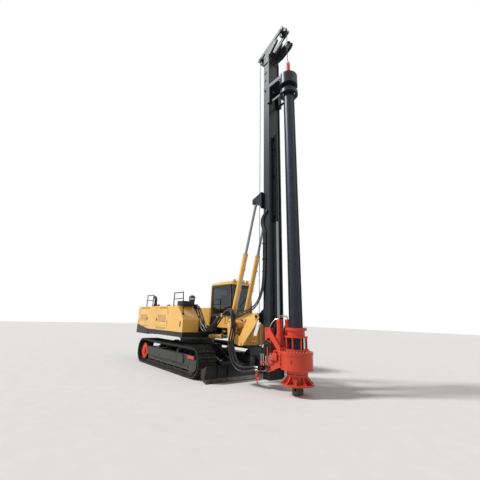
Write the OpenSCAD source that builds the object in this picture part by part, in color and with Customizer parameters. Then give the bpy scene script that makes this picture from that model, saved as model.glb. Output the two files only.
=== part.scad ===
// Rotary piling rig: crawler undercarriage, slewing upper body with cab, parallel-link boom,
// hinged box mast, and a rotary drive that turns and lowers a telescopic kelly bar.
// X points forward, Y to the machine's left, Z up, in millimetres. The outlines below are in
// a frame whose X starts at the slew axis. The whole rig is then moved along X by slew_x,
// so that the origin lies on the ground under the middle of its length.

/* [Undercarriage] */
// Height of the track loop over its lugs
track_h = 830; // [800:5:840]
// Distance between the sprocket and idler centres
wheelbase = 3850; // [3700:10:3900]
// Width over both tracks, also the width of the front blade
track_span = 2500; // [2500:10:2700]
// Width of a track shoe
shoe_w = 600; // [500:10:600]
// Height of the lugs on the shoes
lug_h = 24; // [16:1:30]
// Length of a shoe along the track, before it is fitted to the loop
shoe_pitch = 170; // [150:1:200]
// Number of bottom rollers on each side
roller_count = 7; // [5:1:8]
// Radius of the slewing ring
ring_r = 640; // [560:5:680]
// Height of the front blade
blade_h = 410; // [360:5:410]
// Thickness of the front blade's plate
blade_t = 30; // [20:1:36]

/* [Upper body] */
// Reach of the counterweight behind the slew axis
tail_reach = 3120; // [3120:10:3200]
// Height of the deck's underside above the ground
deck_z = 990; // [985:1:995]
// Width over the hoods and the cab
body_w = 2440; // [2400:10:2440]
// Height of the hoods' top
hood_top = 1985; // [1950:5:2050]
// Width of the right hood
right_hood_w = 580; // [540:5:600]
// Thickness of the hoods' walls and doors
hood_t = 20; // [12:1:24]
// Height of the cab's roof
cab_top = 2850; // [2750:10:2900]
// Thickness of the cab's walls and door
cab_t = 40; // [30:1:45]
// Radius of the handrails' tube
rail_r = 17; // [14:1:20]

/* [Boom and mast] */
// Thickness of the boom's side plates
boom_t = 40; // [30:1:44]
// Radius of the boom's pins
pin_r = 50; // [40:1:55]
// Thickness of the mast carrier's side plates
carrier_t = 30; // [22:1:36]
// Width of the mast's box
mast_w = 450; // [420:5:460]
// Depth of the mast's box
mast_d = 250; // [230:5:260]
// Thickness of the mast's walls
mast_t = 16; // [12:1:22]
// Height of the mast's top end
mast_top = 10600; // [10400:10:10700]
// Radius of the mast cylinders' barrels
mast_barrel_r = 75; // [65:1:78]
// Radius of the mast cylinders' rods
mast_rod_r = 42; // [34:1:46]
// Height of the cathead's front end over the ground
head_top = 11480; // [11300:10:11500]
// Radius of the large sheaves
sheave_r = 175; // [150:5:200]

/* [Rotary drive and kelly] */
// Reach of the kelly's centre line in front of the slew axis
kelly_x = 4750; // [4740:1:4760]
// Radius of the kelly's outer tube
kelly_r = 170; // [160:1:172]
// Height of the drive keys on the kelly's outer tube
key_h = 12; // [8:1:14]
// Radius of the gearbox
gearbox_r = 390; // [370:1:400]
// Radius of the bell's bottom flange
bell_r = 388; // [380:1:390]
// Width of the square stub at the kelly's foot
stub_w = 180; // [150:2:182]
// Radius of the stub's cross hole for the tool pin
tool_pin_r = 30; // [24:1:34]
// Radius of the crowd cylinder's rod
crowd_rod_r = 37; // [30:1:38]

/* [Hidden] */
$fn = 48;

// Clearances: between a pin and its bore, between moving pieces, and of a piece on its seat
fit_gap = 0.05;
move_gap = 5;
seat_gap = 0.3;

// Colours of the paint and metal
yellow = "#EBB64E";
black = "#17191D";
frame_grey = "#2B3433";
drive_red = "#E0482B";
chrome = "#C9CCCE";
steel = "#6B6E70";
glass = "#7D93A0";

// Whole machine
front_reach = kelly_x + gearbox_r;
slew_x = (tail_reach - front_reach) / 2;

// Undercarriage
belt_t = 25;
belt_r = track_h / 2 - lug_h;
track_z = track_h / 2;
rear_x = -1965;
front_x = rear_x + wheelbase;
track_y = (track_span - shoe_w) / 2;
chain_r = belt_r - 100;
chain_w = 200;
belt_gap = 16;
arc_steps = 12;
arc_len = PI * belt_r;
loop_len = 2 * (wheelbase + arc_len);
shoe_count = round(loop_len / shoe_pitch);
// One shoe's outline along the track: share of its length, height over the plate in lug heights
SHOE = [
    [0.05, 0], [0.14, 0], [0.16, 1], [0.24, 1], [0.28, 0],
    [0.62, 0], [0.66, 1], [0.74, 1], [0.78, 0]
];
roller_r = 85;
carrier_roller_r = 60;
frame_w = 380;
frame_z0 = 300;
frame_z1 = 575;
skirt_z = 170;
skirt_t = 20;
skirt_y = 130;
cap_r = 262;
cap_t = 26;
car_x = 850;
car_z0 = 390;
car_z1 = 800;
ring_h = 60;
blade_px = car_x + 150;
blade_pz = 480;
blade_arm_y = 365;
blade_arm_t = 70;
blade_front = front_x + 865;
blade_z0 = 10;
blade_curve_r = 260;
blade_cyl_y = 200;
blade_cyl_base = [car_x + 55, 740];
blade_cyl_eye = [blade_front - 950, 400];
blade_cyl_l = dist(blade_cyl_base, blade_cyl_eye);

// Upper body
half_w = body_w / 2;
deck_top = 1180;
deck_rear = -1700;
deck_front = 1130;
lane_top = 1350;
hood_in = half_w - right_hood_w;
// Rear end of what stands in the hoods, in front of the tail
bay_rear = 620 - tail_reach;
left_in = 400;
hood_floor = deck_top;
// The counterweight's top rises towards the tail from the knee
tail_r = 330;
knee_x = -1710;
tail_z = 1362;
function weight_top(x) = deck_top + (knee_x - x) / (knee_x + tail_reach) * (tail_z - deck_top);
// Side outline of the right hood, from the front foot round to the knee
HOOD = [
    [1120, hood_floor], [1120, 1560], [1050, 1660], [700, hood_top],
    [300 - tail_reach, hood_top], [-tail_reach, hood_top - 135], [-tail_reach, tail_z],
    [knee_x, hood_floor]
];
// Door hinges: radius, and distances in from the door's edge and out from its face
hinge_r = 9;
hinge_in = 12;
hinge_out = hinge_r + 1;
hinge_h = 70;
door_z0 = 1330;
door_z1 = 1900;
// Feet of the doors' knuckles; the walls' knuckles sit right below them
hood_hinge_z = [door_z0 + 100, door_z1 - 100];
cab_hinge_z = [1450, 2500];
door_rear_x = [370 - tail_reach, -1680];
door_front_x = [-1080, -40];
cab_x = [110, 1600];
cab_floor = deck_top;
// Side outline of the cab
CAB = [
    [cab_x[0], cab_floor], [1500, cab_floor], [cab_x[1], 1400], [cab_x[1], 1900],
    [1490, cab_top - 60], [1430, cab_top], [200, cab_top], [cab_x[0], cab_top - 80]
];
// Side window and door opening of the cab: low and high X, low and high Z
cab_door_x = [640, 1470];
cab_door_z = [1230, 2740];

// Boom, carrier and mast, their pins as [X, Z]
boom_foot = [1280, 1440];
boom_head = [2500, 1440];
link_foot = [1280, 1100];
link_head = [2500, 1100];
luff_base = [1230, 1060];
luff_eye = [2330, 1130];
luff_y = 300;
mast_pivot = [3680, 1700];
mast_cyl_base = [2420, 1620];
mast_cyl_eye = [3470, 5050];
mast_cyl_y = 240;
// Half the gap between the mast's ears, which the rod and its eye run in
mast_eye_half = mast_rod_r + 4;
boom_half = 150;
tongue_half = 90;
carrier_y = 340;
mast_back = 3800;
mast_front = mast_back + mast_d;
mast_foot = 210;
rail_x = 30;
crowd_x = mast_front + 85;
// Back face of what slides on the mast's rails
slide_x = mast_front + rail_x + seat_gap;
crowd_barrel_r = 55;
crowd_z = [4350, 7260];
winch_axis = [3480, 620];
sheave_front_c = [kelly_x - sheave_r, head_top - sheave_r];
sheave_rear_c = [3350 + sheave_r, 10850];
sheave_aux_c = [4540, 10890];
aux_r = 140;
aux_y = 275;
sheave_w = 70;

// Rotary drive
sleeve_r = 212;
sleeve_in = kelly_r + key_h + 8;
gear_bore = sleeve_r + move_gap;
gear_z = [540, 930];
cage_z = 1460;
kelly_foot = 300;
kelly_head = 9200;
kelly_bore = 135;
inner_r = 120;
stub_z = 20;
guide_z = [8800, kelly_head - seat_gap];
guide_low_z = [8450, 8570];
swivel_z = [9370, 9850];

// Moves a piece from the slew frame to the machine's own origin
module placed() {
    translate([slew_x, 0, 0]) children();
}

module both_sides() {
    children();
    mirror([0, 1, 0]) children();
}

// A box between low and high values on each axis
module span(x, y, z) {
    translate([x[0], y[0], z[0]]) cube([x[1] - x[0], y[1] - y[0], z[1] - z[0]]);
}

// A plate with an outline in X and Z, between two values of Y
module side_plate(outline, y) {
    translate([0, y[1], 0]) rotate([90, 0, 0]) linear_extrude(y[1] - y[0]) polygon(outline);
}

// A round bar along Y at a point given as [X, Z]
module bar_y(at, r, y) {
    translate([at[0], y[1], at[1]]) rotate([90, 0, 0]) cylinder(h = y[1] - y[0], r = r);
}

// A round bar along Z at [X, Y]
module bar_z(at, r, z) {
    translate([at[0], at[1], z[0]]) cylinder(h = z[1] - z[0], r = r);
}

// A round bar between two points in space
module rod(a, b, r) {
    d = b - a;
    translate(a) rotate([0, acos(d[2] / norm(d)), atan2(d[1], d[0])]) cylinder(h = norm(d), r = r);
}

// Children drawn along +X are turned to run from one [X, Z] point towards another
module aimed(from, to) {
    translate([from[0], 0, from[1]])
        rotate([0, -atan2(to[1] - from[1], to[0] - from[0]), 0])
            children();
}

function dist(a, b) = norm(b - a);

// A point on the track loop: s runs forward along the bottom, h is the height over the shoes
function loop_pt(s, h) =
    let (r = belt_r + h)
    s < wheelbase ? [rear_x + s, track_z - r]
    : s < wheelbase + arc_len ?
        let (a = (s - wheelbase) / belt_r * 180 / PI - 90)
        [front_x + r * cos(a), track_z + r * sin(a)]
    : s < 2 * wheelbase + arc_len ? [front_x - (s - wheelbase - arc_len), track_z + r]
    : let (a = (s - 2 * wheelbase - arc_len) / belt_r * 180 / PI + 90)
        [rear_x + r * cos(a), track_z + r * sin(a)];

// The loop with plain sides at a height over the shoes' plates
function stadium(h) = [
    for (end = [0, 1])
        for (i = [0:arc_steps])
            let (a = -90 + 180 * end + 180 * i / arc_steps)
            [(end == 0 ? front_x : rear_x) + (belt_r + h) * cos(a),
             track_z + (belt_r + h) * sin(a)]
];

function shoe_outline() = [
    for (i = [0:shoe_count - 1])
        let (pitch = loop_len / shoe_count)
        for (p = concat([[0, -belt_gap / lug_h]], SHOE))
            loop_pt((i + p[0]) * pitch, p[1] * lug_h)
];

module track(y) {
    color(frame_grey) placed() {
        difference() {
            side_plate(shoe_outline(), [y - shoe_w / 2, y + shoe_w / 2]);
            side_plate(stadium(-belt_t), [y - shoe_w / 2 - 1, y + shoe_w / 2 + 1]);
        }
        difference() {
            side_plate(stadium(5 - belt_t), [y - chain_w / 2, y + chain_w / 2]);
            side_plate(stadium(chain_r - belt_r), [y - chain_w / 2 - 1, y + chain_w / 2 + 1]);
        }
    }
}

module track_right() {
    track(-track_y);
}

module track_left() {
    track(track_y);
}

module track_wheels() {
    roller_z = track_z - chain_r + roller_r + seat_gap;
    carrier_z = track_z + chain_r - carrier_roller_r - seat_gap;
    tooth_count = 19;
    wheel_r = chain_r * cos(90 / arc_steps) - seat_gap;
    color(steel) placed() both_sides() {
        for (i = [0:roller_count - 1])
            let (x = -1500 + i * 2950 / (roller_count - 1)) {
                bar_y([x, roller_z], roller_r, [track_y - 110, track_y + 110]);
                bar_y([x, roller_z], 35, [track_y - skirt_y, track_y + skirt_y]);
            }
        for (x = [-750, 700]) {
            bar_y([x, carrier_z], carrier_roller_r, [track_y - 90, track_y + 90]);
            bar_y([x, carrier_z], 25, [track_y - skirt_y, track_y + skirt_y]);
        }
        side_plate([
            for (i = [0:tooth_count * 4 - 1])
                let (a = i * 90 / tooth_count, r = wheel_r - (i % 4 < 2 ? 0 : 40))
                [rear_x + r * cos(a), track_z + r * sin(a)]
        ], [track_y - 30, track_y + 30]);
        bar_y([rear_x, track_z], 150, [track_y - skirt_y, track_y + skirt_y]);
        bar_y([front_x, track_z], wheel_r, [track_y - 70, track_y + 70]);
        bar_y([front_x, track_z], 90, [track_y - skirt_y, track_y + skirt_y]);
    }
}

module track_frames() {
    fork_t = 20;
    beam = [
        [-1655, frame_z0], [-1655, 480], [-1600, frame_z1], [front_x - 400, frame_z1],
        [front_x - 305, 480], [front_x - 305, frame_z0]
    ];
    cover = [
        [-1350, 330], [-1350, 470], [-1250, 560], [1150, 560], [1250, 470], [1250, 330]
    ];
    rear_fork = [
        [-1630, 310], [-2040, 320], [-2100, track_z], [-2040, 510], [-1630, 520]
    ];
    front_fork = [
        [front_x - 330, 310], [front_x + 60, 320], [front_x + 110, track_z],
        [front_x + 60, 510], [front_x - 330, 520]
    ];
    color(frame_grey) placed() both_sides() {
        side_plate(beam, [track_y - frame_w / 2, track_y + frame_w / 2]);
        side_plate(cover, [track_y + frame_w / 2 - 1, track_y + frame_w / 2 + 30]);
        for (side = [-1, 1]) {
            y = track_y + side * (skirt_y + skirt_t / 2);
            span([-1600, front_x - 330], [y - skirt_t / 2, y + skirt_t / 2], [skirt_z, frame_z0 + 5]);
            side_plate(rear_fork, [y - fork_t / 2, y + fork_t / 2]);
            side_plate(front_fork, [y - fork_t / 2, y + fork_t / 2]);
            for (x = [-750, 700])
                span([x - 45, x + 45], [y - skirt_t / 2, y + skirt_t / 2], [frame_z1 - 5, 660]);
        }
    }
}

// Red covers on the final drives and the idler guards
module track_caps() {
    y = track_y + skirt_y + skirt_t;
    color(drive_red) placed() both_sides() {
        bar_y([rear_x, track_z - 30], cap_r, [y, y + cap_t]);
        bar_y([rear_x, track_z - 30], 120, [y + cap_t, y + 70]);
        span([front_x - 390, front_x], [y + 42, y + 72], [490, 570]);
        span([front_x - 270, front_x - 20], [y, y + 43], [330, 500]);
    }
}

module carbody() {
    ear_t = 32;
    color(frame_grey) placed() {
        span([-car_x, car_x], [-500, 500], [car_z0, car_z1]);
        for (x = [-640, 640])
            span([x - 200, x + 200], [-track_y + frame_w / 2, track_y - frame_w / 2], [410, 650]);
        bar_z([0, 0], ring_r - 40, [car_z1 - 50, deck_z - seat_gap - ring_h]);
        both_sides() {
            for (y = [blade_arm_y - blade_arm_t / 2 - move_gap - ear_t,
                      blade_arm_y + blade_arm_t / 2 + move_gap])
                side_plate([
                    [car_x - 10, car_z0], [blade_px + 30, blade_pz - 60],
                    [blade_px + 60, blade_pz], [blade_px + 30, blade_pz + 60],
                    [car_x - 10, blade_pz + 130]
                ], [y, y + ear_t]);
            bar_y([blade_px, blade_pz], 40 - fit_gap,
                  [blade_arm_y - blade_arm_t / 2 - move_gap - ear_t + 1,
                   blade_arm_y + blade_arm_t / 2 + move_gap + ear_t + 12]);
            for (y = [blade_cyl_y - 62, blade_cyl_y + 32])
                span([car_x - 5, blade_cyl_base[0] + 40], [y, y + 30],
                     [blade_cyl_base[1] - 45, blade_cyl_base[1] + 45]);
            bar_y(blade_cyl_base, 22 - fit_gap, [blade_cyl_y - 62, blade_cyl_y + 62]);
        }
    }
}

module slew_ring() {
    z = deck_z - seat_gap - ring_h;
    color(steel) placed() difference() {
        bar_z([0, 0], ring_r, [z, z + ring_h]);
        bar_z([0, 0], ring_r - 90, [z - 1, z + ring_h + 1]);
    }
}

function blade_face(z, back) =
    let (mid = blade_z0 + blade_h / 2, rise = z - mid)
    blade_front - 130 + blade_curve_r - sqrt(pow(blade_curve_r, 2) - pow(rise, 2)) - back;

module front_blade() {
    steps = 8;
    z1 = blade_z0 + blade_h;
    half = track_span / 2;
    eye_x = blade_cyl_eye[0];
    color(black) placed() {
        side_plate(concat(
            [for (i = [0:steps]) let (z = blade_z0 + i * blade_h / steps) [blade_face(z, 0), z]],
            [for (i = [steps:-1:0]) let (z = blade_z0 + i * blade_h / steps)
                [blade_face(z, blade_t), z]]
        ), [-half, half]);
        span([blade_front - 300, blade_front - 145], [-half + 120, half - 120], [120, 310]);
        both_sides() {
            side_plate([
                [blade_front - 290, 110], [blade_front - 130, 30], [blade_face(z1, 10), z1 - 10],
                [blade_front - 290, 320]
            ], [half - 30, half]);
            for (y = [half - 420, half - 760])
                side_plate([
                    [blade_front - 290, 110], [blade_front - 130, 30],
                    [blade_face(z1, 10), z1 - 10], [blade_front - 290, 320]
                ], [y, y + 20]);
            difference() {
                union() {
                    side_plate([
                        [blade_px, blade_pz - 75], [blade_front - 1050, 300],
                        [blade_front - 290, 130], [blade_front - 290, 300],
                        [blade_front - 990, 440], [blade_px, blade_pz + 75]
                    ], [blade_arm_y - blade_arm_t / 2, blade_arm_y + blade_arm_t / 2]);
                    bar_y([blade_px, blade_pz], 75,
                          [blade_arm_y - blade_arm_t / 2, blade_arm_y + blade_arm_t / 2]);
                }
                bar_y([blade_px, blade_pz], 40, [blade_arm_y - 60, blade_arm_y + 60]);
            }
        }
        bar_y([blade_front - 860, 330], 50, [-blade_arm_y, blade_arm_y]);
        both_sides() {
            for (y = [blade_cyl_y - 62, blade_cyl_y + 34])
                side_plate([
                    [eye_x - 40, 430], [eye_x + 40, 440], [eye_x + 120, 340], [eye_x + 70, 300],
                    [eye_x, 350]
                ], [y, y + 28]);
            for (y = [blade_cyl_y - 74, blade_cyl_y + 62])
                bar_y(blade_cyl_eye, 32, [y, y + 12]);
        }
    }
}

// A cylinder's barrel along +X from its base eye at the origin
module barrel(l, r, eye_r, eye_w, bore, hole_r) {
    start = eye_r + 30;
    difference() {
        union() {
            translate([0, eye_w / 2, 0]) rotate([90, 0, 0]) cylinder(h = eye_w, r = eye_r);
            rotate([0, 90, 0]) cylinder(h = start + 1, r = eye_w / 2 - 2);
            translate([start, 0, 0]) rotate([0, 90, 0]) cylinder(h = l - start, r = r);
            translate([l - 60, 0, 0]) rotate([0, 90, 0]) cylinder(h = 60, r = r * 1.12);
        }
        translate([0, r * 2, 0]) rotate([90, 0, 0]) cylinder(h = r * 4, r = hole_r);
        translate([start + 10, 0, 0]) rotate([0, 90, 0]) cylinder(h = l, r = bore);
    }
}

// A cylinder's rod along +X with an eye, whose pin ends run between two faces ear_w apart
module piston_rod(from, to, r, eye_r, eye_w, eye_pin_r, ear_w) {
    pin_w = ear_w - 2 * seat_gap;
    translate([from, 0, 0]) rotate([0, 90, 0]) cylinder(h = to - eye_r / 2 - from, r = r);
    translate([to, eye_w / 2, 0]) rotate([90, 0, 0]) cylinder(h = eye_w, r = eye_r);
    translate([to, pin_w / 2, 0]) rotate([90, 0, 0]) cylinder(h = pin_w, r = eye_pin_r);
}

module blade_barrels() {
    color(frame_grey) placed() both_sides()
        translate([0, blade_cyl_y, 0]) aimed(blade_cyl_base, blade_cyl_eye)
            barrel(0.65 * blade_cyl_l, 45, 42, 56, 32, 22);
}

module blade_rods() {
    color(chrome) placed() both_sides()
        translate([0, blade_cyl_y, 0]) aimed(blade_cyl_base, blade_cyl_eye)
            piston_rod(0.26 * blade_cyl_l, blade_cyl_l, 24, 38, 56, 18, 68);
}

module deck() {
    ear = [
        [1000, deck_z], [1130, deck_z], [1370, 1040], [1370, 1500], [1300, 1690],
        [1070, 1690], [1000, 1500]
    ];
    luff_ear = [
        [1080, deck_z + 5], [luff_base[0] + 50, deck_z + 5], [luff_base[0] + 70, 1060],
        [luff_base[0] + 50, 1120], [1080, 1160]
    ];
    color(black) placed() {
        span([deck_rear, deck_front], [-half_w + 10, half_w - 10], [deck_z + 40, deck_top]);
        bar_z([0, 0], ring_r + 20, [deck_z, deck_z + 41]);
        span([deck_front - 1, cab_x[1] + 20], [left_in - 10, half_w - 10], [1100, deck_top]);
        both_sides() {
            difference() {
                side_plate(ear, [95, 145]);
                bar_y(boom_foot, pin_r, [90, 150]);
                bar_y(link_foot, pin_r, [90, 150]);
            }
            for (y = [luff_y - 65, luff_y + 35])
                side_plate(luff_ear, [y, y + 30]);
            bar_y(luff_base, 32 - fit_gap, [luff_y - 66, luff_y + 66]);
        }
    }
}

// The upper body's plan with its round tail corners, set in by an inset
module tail_plan(inset) {
    x = tail_r - tail_reach;
    y = half_w - tail_r;
    z = [900, 3000];
    span([x, 2000], [inset - half_w, half_w - inset], z);
    span([inset - tail_reach, 2000], [-y, y], z);
    for (side = [-y, y])
        bar_z([x, side], tail_r - inset, z);
}

module counterweight() {
    slope = [
        [deck_rear, deck_z], [deck_rear, deck_top], [knee_x, deck_top], [-tail_reach, tail_z],
        [-tail_reach, deck_z + 90], [90 - tail_reach, deck_z]
    ];
    color(black) placed() intersection() {
        side_plate(slope, [-half_w, half_w]);
        tail_plan(0);
    }
}

module centre_cover() {
    rear = 140 - tail_reach;
    color(black) placed() side_plate([
        [700, hood_floor], [700, 1300], [650, lane_top], [rear, lane_top],
        [rear, weight_top(rear)], [knee_x, hood_floor]
    ], [2 - hood_in, left_in - 2]);
}

// A hood: a shell with the hoods' side outline and an open bottom, up to a front end
module hood_shell(y, front) {
    inner = [
        [2000, hood_floor - 5], [2000, hood_top - hood_t], [310 - tail_reach, hood_top - hood_t],
        [hood_t - tail_reach, hood_top - 145], [hood_t - tail_reach, tail_z - 5],
        [knee_x, hood_floor - 5]
    ];
    in_front = min(front - hood_t, 700);
    difference() {
        intersection() {
            side_plate(HOOD, y);
            span([-4000, front], [-2000, 2000], [0, 3000]);
            tail_plan(0);
        }
        intersection() {
            side_plate(inner, [y[0] + hood_t, y[1] - hood_t]);
            span([-4000, in_front], [-2000, 2000], [0, 3000]);
            tail_plan(hood_t);
        }
    }
}

// One half of a door's hinges on the side wall at y = side * half_w: a knuckle on the axis and
// a leaf that runs along X towards the panel it is fixed to
module hinge_leaf(x, side, towards, z) {
    y = side * half_w;
    axis_y = y + side * hinge_out;
    wall = towards * (hinge_in + move_gap + 1);
    bar_z([x, axis_y], hinge_r, [z, z + hinge_h]);
    span([min(x, x + towards * 52), max(x, x + towards * 52)],
         [min(y + side, axis_y + side * 4), max(y + side, axis_y + side * 4)], [z, z + hinge_h]);
    span([min(x + wall, x + towards * 52), max(x + wall, x + towards * 52)],
         [min(y - side, y + side * 2), max(y - side, y + side * 2)], [z, z + hinge_h]);
}

// Pressed louvres on a side wall: each slopes out from the wall towards its lower edge
module louvres(x, z, count, side) {
    out = 11;
    pitch = 34;
    y = side * half_w;
    for (i = [0:count - 1])
        translate([x[0], 0, z + i * pitch]) rotate([90, 0, 90]) linear_extrude(x[1] - x[0])
            polygon([[y - side, 0], [y + side * out, 2], [y + side * out, 6], [y - side, 27]]);
}

module right_hood() {
    wall = [-half_w - 1, hood_t + 1 - half_w];
    color(yellow) placed() {
        louvres([-930, -150], door_z0 - 85, 2, -1);
        louvres([-2330, -1780], door_z0 - 50, 1, -1);
        louvres([-2560, -1740], door_z1 + 16, 2, -1);
        louvres([-740, -110], door_z1 + 16, 2, -1);
    }
    color(yellow) placed() difference() {
        hood_shell([-half_w, -hood_in], 1120);
        for (x = [door_rear_x, door_front_x])
            span([x[0] - move_gap, x[1] + move_gap], wall,
                 [door_z0 - move_gap, door_z1 + move_gap]);
    }
    color(yellow) placed() for (z = hood_hinge_z) {
        hinge_leaf(door_rear_x[0] + hinge_in, -1, -1, z - hinge_h - seat_gap);
        hinge_leaf(door_front_x[1] - hinge_in, -1, 1, z - hinge_h - seat_gap);
    }
}

module left_hood() {
    color(yellow) placed() {
        hood_shell([left_in, half_w], cab_x[0] - 40);
        for (x = [[-2600, -1750], [-1600, -750]])
            louvres(x, 1400, 13, 1);
    }
}

module hood_door(x, louvre_x, hinge_x, towards) {
    color(yellow) placed() {
        span(x, [-half_w, hood_t - half_w], [door_z0, door_z1]);
        louvres(louvre_x, 1475, 7, -1);
        for (z = hood_hinge_z)
            hinge_leaf(hinge_x, -1, towards, z);
    }
}

module hood_door_front() {
    hood_door(door_front_x, [-870, -190], door_front_x[1] - hinge_in, -1);
}

module hood_door_rear() {
    hood_door(door_rear_x, [-2620, -1920], door_rear_x[0] + hinge_in, 1);
}

module engine_block() {
    floor_z = deck_top + seat_gap;
    top = hood_top - 105;
    color(steel) placed() side_plate([
        [bay_rear, weight_top(bay_rear) + seat_gap], [knee_x, floor_z], [-1300, floor_z],
        [-1300, top], [bay_rear, top]
    ], [left_in + 120, half_w - 120]);
}

// Fuel tank in front and hydraulic tank behind it, in the right hood
module tanks() {
    floor_z = deck_top + seat_gap;
    top = hood_top - 135;
    color(frame_grey) placed() {
        span([-1300, -260], [70 - half_w, -hood_in - 60], [deck_top, top]);
        side_plate([
            [bay_rear, weight_top(bay_rear) + seat_gap], [knee_x, floor_z], [-1500, floor_z],
            [-1500, top], [bay_rear, top]
        ], [100 - half_w, -hood_in - 60]);
    }
}

module cab_outline(y) {
    side_plate(CAB, y);
}

module cab_shell() {
    in = cab_t;
    inner = [
        [cab_x[0] + in, cab_floor + in], [1490 - in, cab_floor + in], [cab_x[1] - in, 1410],
        [cab_x[1] - in, 1900], [1485 - in, cab_top - 70], [1430 - in, cab_top - in],
        [205 + in, cab_top - in], [cab_x[0] + in, cab_top - 90]
    ];
    y = [left_in + 4, half_w];
    lamp_pitch = (y[1] - y[0] - 246) / 3;
    color(yellow) placed() difference() {
        cab_outline(y);
        side_plate(inner, [y[0] + in, y[1] - in]);
        span([cab_door_x[0] - move_gap, cab_door_x[1] + move_gap], [y[1] - in - 1, y[1] + 1],
             [cab_door_z[0] - move_gap, cab_door_z[1] + move_gap]);
        side_plate([[200, 1780], [560, 1780], [560, 2700], [200, 2700]], [y[1] - in - 1, y[1] + 1]);
        side_plate([[220, 1780], [1480, 1780], [1400, 2720], [220, 2720]], [y[0] - 1, y[0] + in + 1]);
        span([1300, 1700], [y[0] + 70, y[1] - 70], [1420, 1880]);
        side_plate([[1300, 1905], [1700, 1905], [1700, 2720], [1300, 2720]], [y[0] + 70, y[1] - 70]);
        span([0, 300], [y[0] + 90, y[1] - 90], [1900, 2680]);
    }
    // Roof hatch and, at the roof's front edge, the lamp bar with its four lamps
    color(yellow) placed() {
        side_plate([
            [460, cab_top - 1], [490, cab_top + 60], [1290, cab_top + 60], [1330, cab_top - 1]
        ], [y[0] + 130, y[1] - 130]);
        span([1395, 1425], [y[0] + 60, y[1] - 60], [cab_top - 1, cab_top + 22]);
        for (i = [0:3])
            span([1380, 1450], [y[0] + 75 + i * lamp_pitch, y[0] + 175 + i * lamp_pitch],
                 [cab_top + 21, cab_top + 91]);
    }
    color(yellow) placed() for (z = cab_hinge_z)
        hinge_leaf(cab_door_x[0] + hinge_in, 1, -1, z - hinge_h - seat_gap);
}

module cab_glass() {
    t = 8;
    y = [left_in + 4, half_w];
    color(glass) placed() {
        side_plate([[200, 1780], [560, 1780], [560, 2700], [200, 2700]],
                   [y[1] - cab_t / 2 - t, y[1] - cab_t / 2]);
        side_plate([[220, 1780], [1480, 1780], [1400, 2720], [220, 2720]],
                   [y[0] + cab_t / 2, y[0] + cab_t / 2 + t]);
        span([cab_x[1] - 24, cab_x[1] - 16], [y[0] + 70, y[1] - 70], [1420, 1880]);
        side_plate([[1576, 1905], [1584, 1905], [1476, 2720], [1468, 2720]], [y[0] + 70, y[1] - 70]);
        span([cab_x[0] + 16, cab_x[0] + 24], [y[0] + 90, y[1] - 90], [1900, 2680]);
    }
}

// The window in the cab's door, as an outline in X and Z
DOOR_WINDOW = [
    [cab_door_x[0] + 80, 1500], [cab_door_x[1] - 60, 1500], [cab_door_x[1] - 100, 2660],
    [cab_door_x[0] + 80, 2660]
];

module cab_door() {
    y = half_w;
    color(yellow) placed() {
        difference() {
            span(cab_door_x, [y - cab_t, y], cab_door_z);
            side_plate(DOOR_WINDOW, [y - cab_t - 1, y + 1]);
        }
        for (z = cab_hinge_z)
            hinge_leaf(cab_door_x[0] + hinge_in, 1, 1, z);
    }
}

module door_glass() {
    y = half_w - cab_t / 2;
    color(glass) placed() side_plate(DOOR_WINDOW, [y - 8, y]);
}

module cab_seat() {
    y = (left_in + half_w) / 2;
    color(black) placed() {
        span([480, 900], [y - 230, y + 230], [cab_floor + cab_t, 1560]);
        span([460, 980], [y - 250, y + 250], [1559, 1680]);
        side_plate([[460, 1670], [560, 1670], [480, 2320], [400, 2320]], [y - 230, y + 230]);
        span([1180, 1400], [y - 200, y + 200], [cab_floor + cab_t, 1480]);
    }
}

module handrails() {
    y = 60 - half_w;
    rail_z = hood_top + 425;
    foot_z = hood_top + seat_gap;
    // The front rail's last foot stands on the hood's slope
    slope_x = [955, 1015];
    slope_z = [for (x = slope_x) foot_z - (x - 700) * (hood_top - 1660) / 350];
    // Bends of the front and the rear rail, each from its foot over the top to its other foot
    rails = [
        [[240, foot_z], [240, rail_z], [880, rail_z], [985, slope_z[0] + 8]],
        [[-2200, foot_z], [-2200, rail_z], [-1600, rail_z], [-1600, foot_z]]
    ];
    color(yellow) placed() {
        for (bends = rails) {
            for (i = [0:2])
                rod([bends[i][0], y, bends[i][1]], [bends[i + 1][0], y, bends[i + 1][1]], rail_r);
            for (i = [1:2])
                translate([bends[i][0], y, bends[i][1]]) sphere(r = rail_r + 2);
            last_x = bends[2][0] + (bends[3][0] - bends[2][0]) * 200 / (rail_z - bends[3][1]);
            rod([bends[1][0], y, rail_z - 200], [last_x + 5, y, rail_z - 200], rail_r * 0.8);
        }
        for (x = [240, -2200, -1600])
            bar_z([x, y], 32, [foot_z, foot_z + 10]);
        side_plate([
            [slope_x[0], slope_z[0] + 1], [slope_x[1], slope_z[1] + 1],
            [slope_x[1], slope_z[0] + 12], [slope_x[0], slope_z[0] + 12]
        ], [y - 24, y + 24]);
    }
}

module filter_box() {
    color(black) placed() {
        span([80, 520], [25 - hood_in, 260 - hood_in], [lane_top, 2050]);
        bar_z([300, 142 - hood_in], 95, [2049, 2180]);
    }
}

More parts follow.
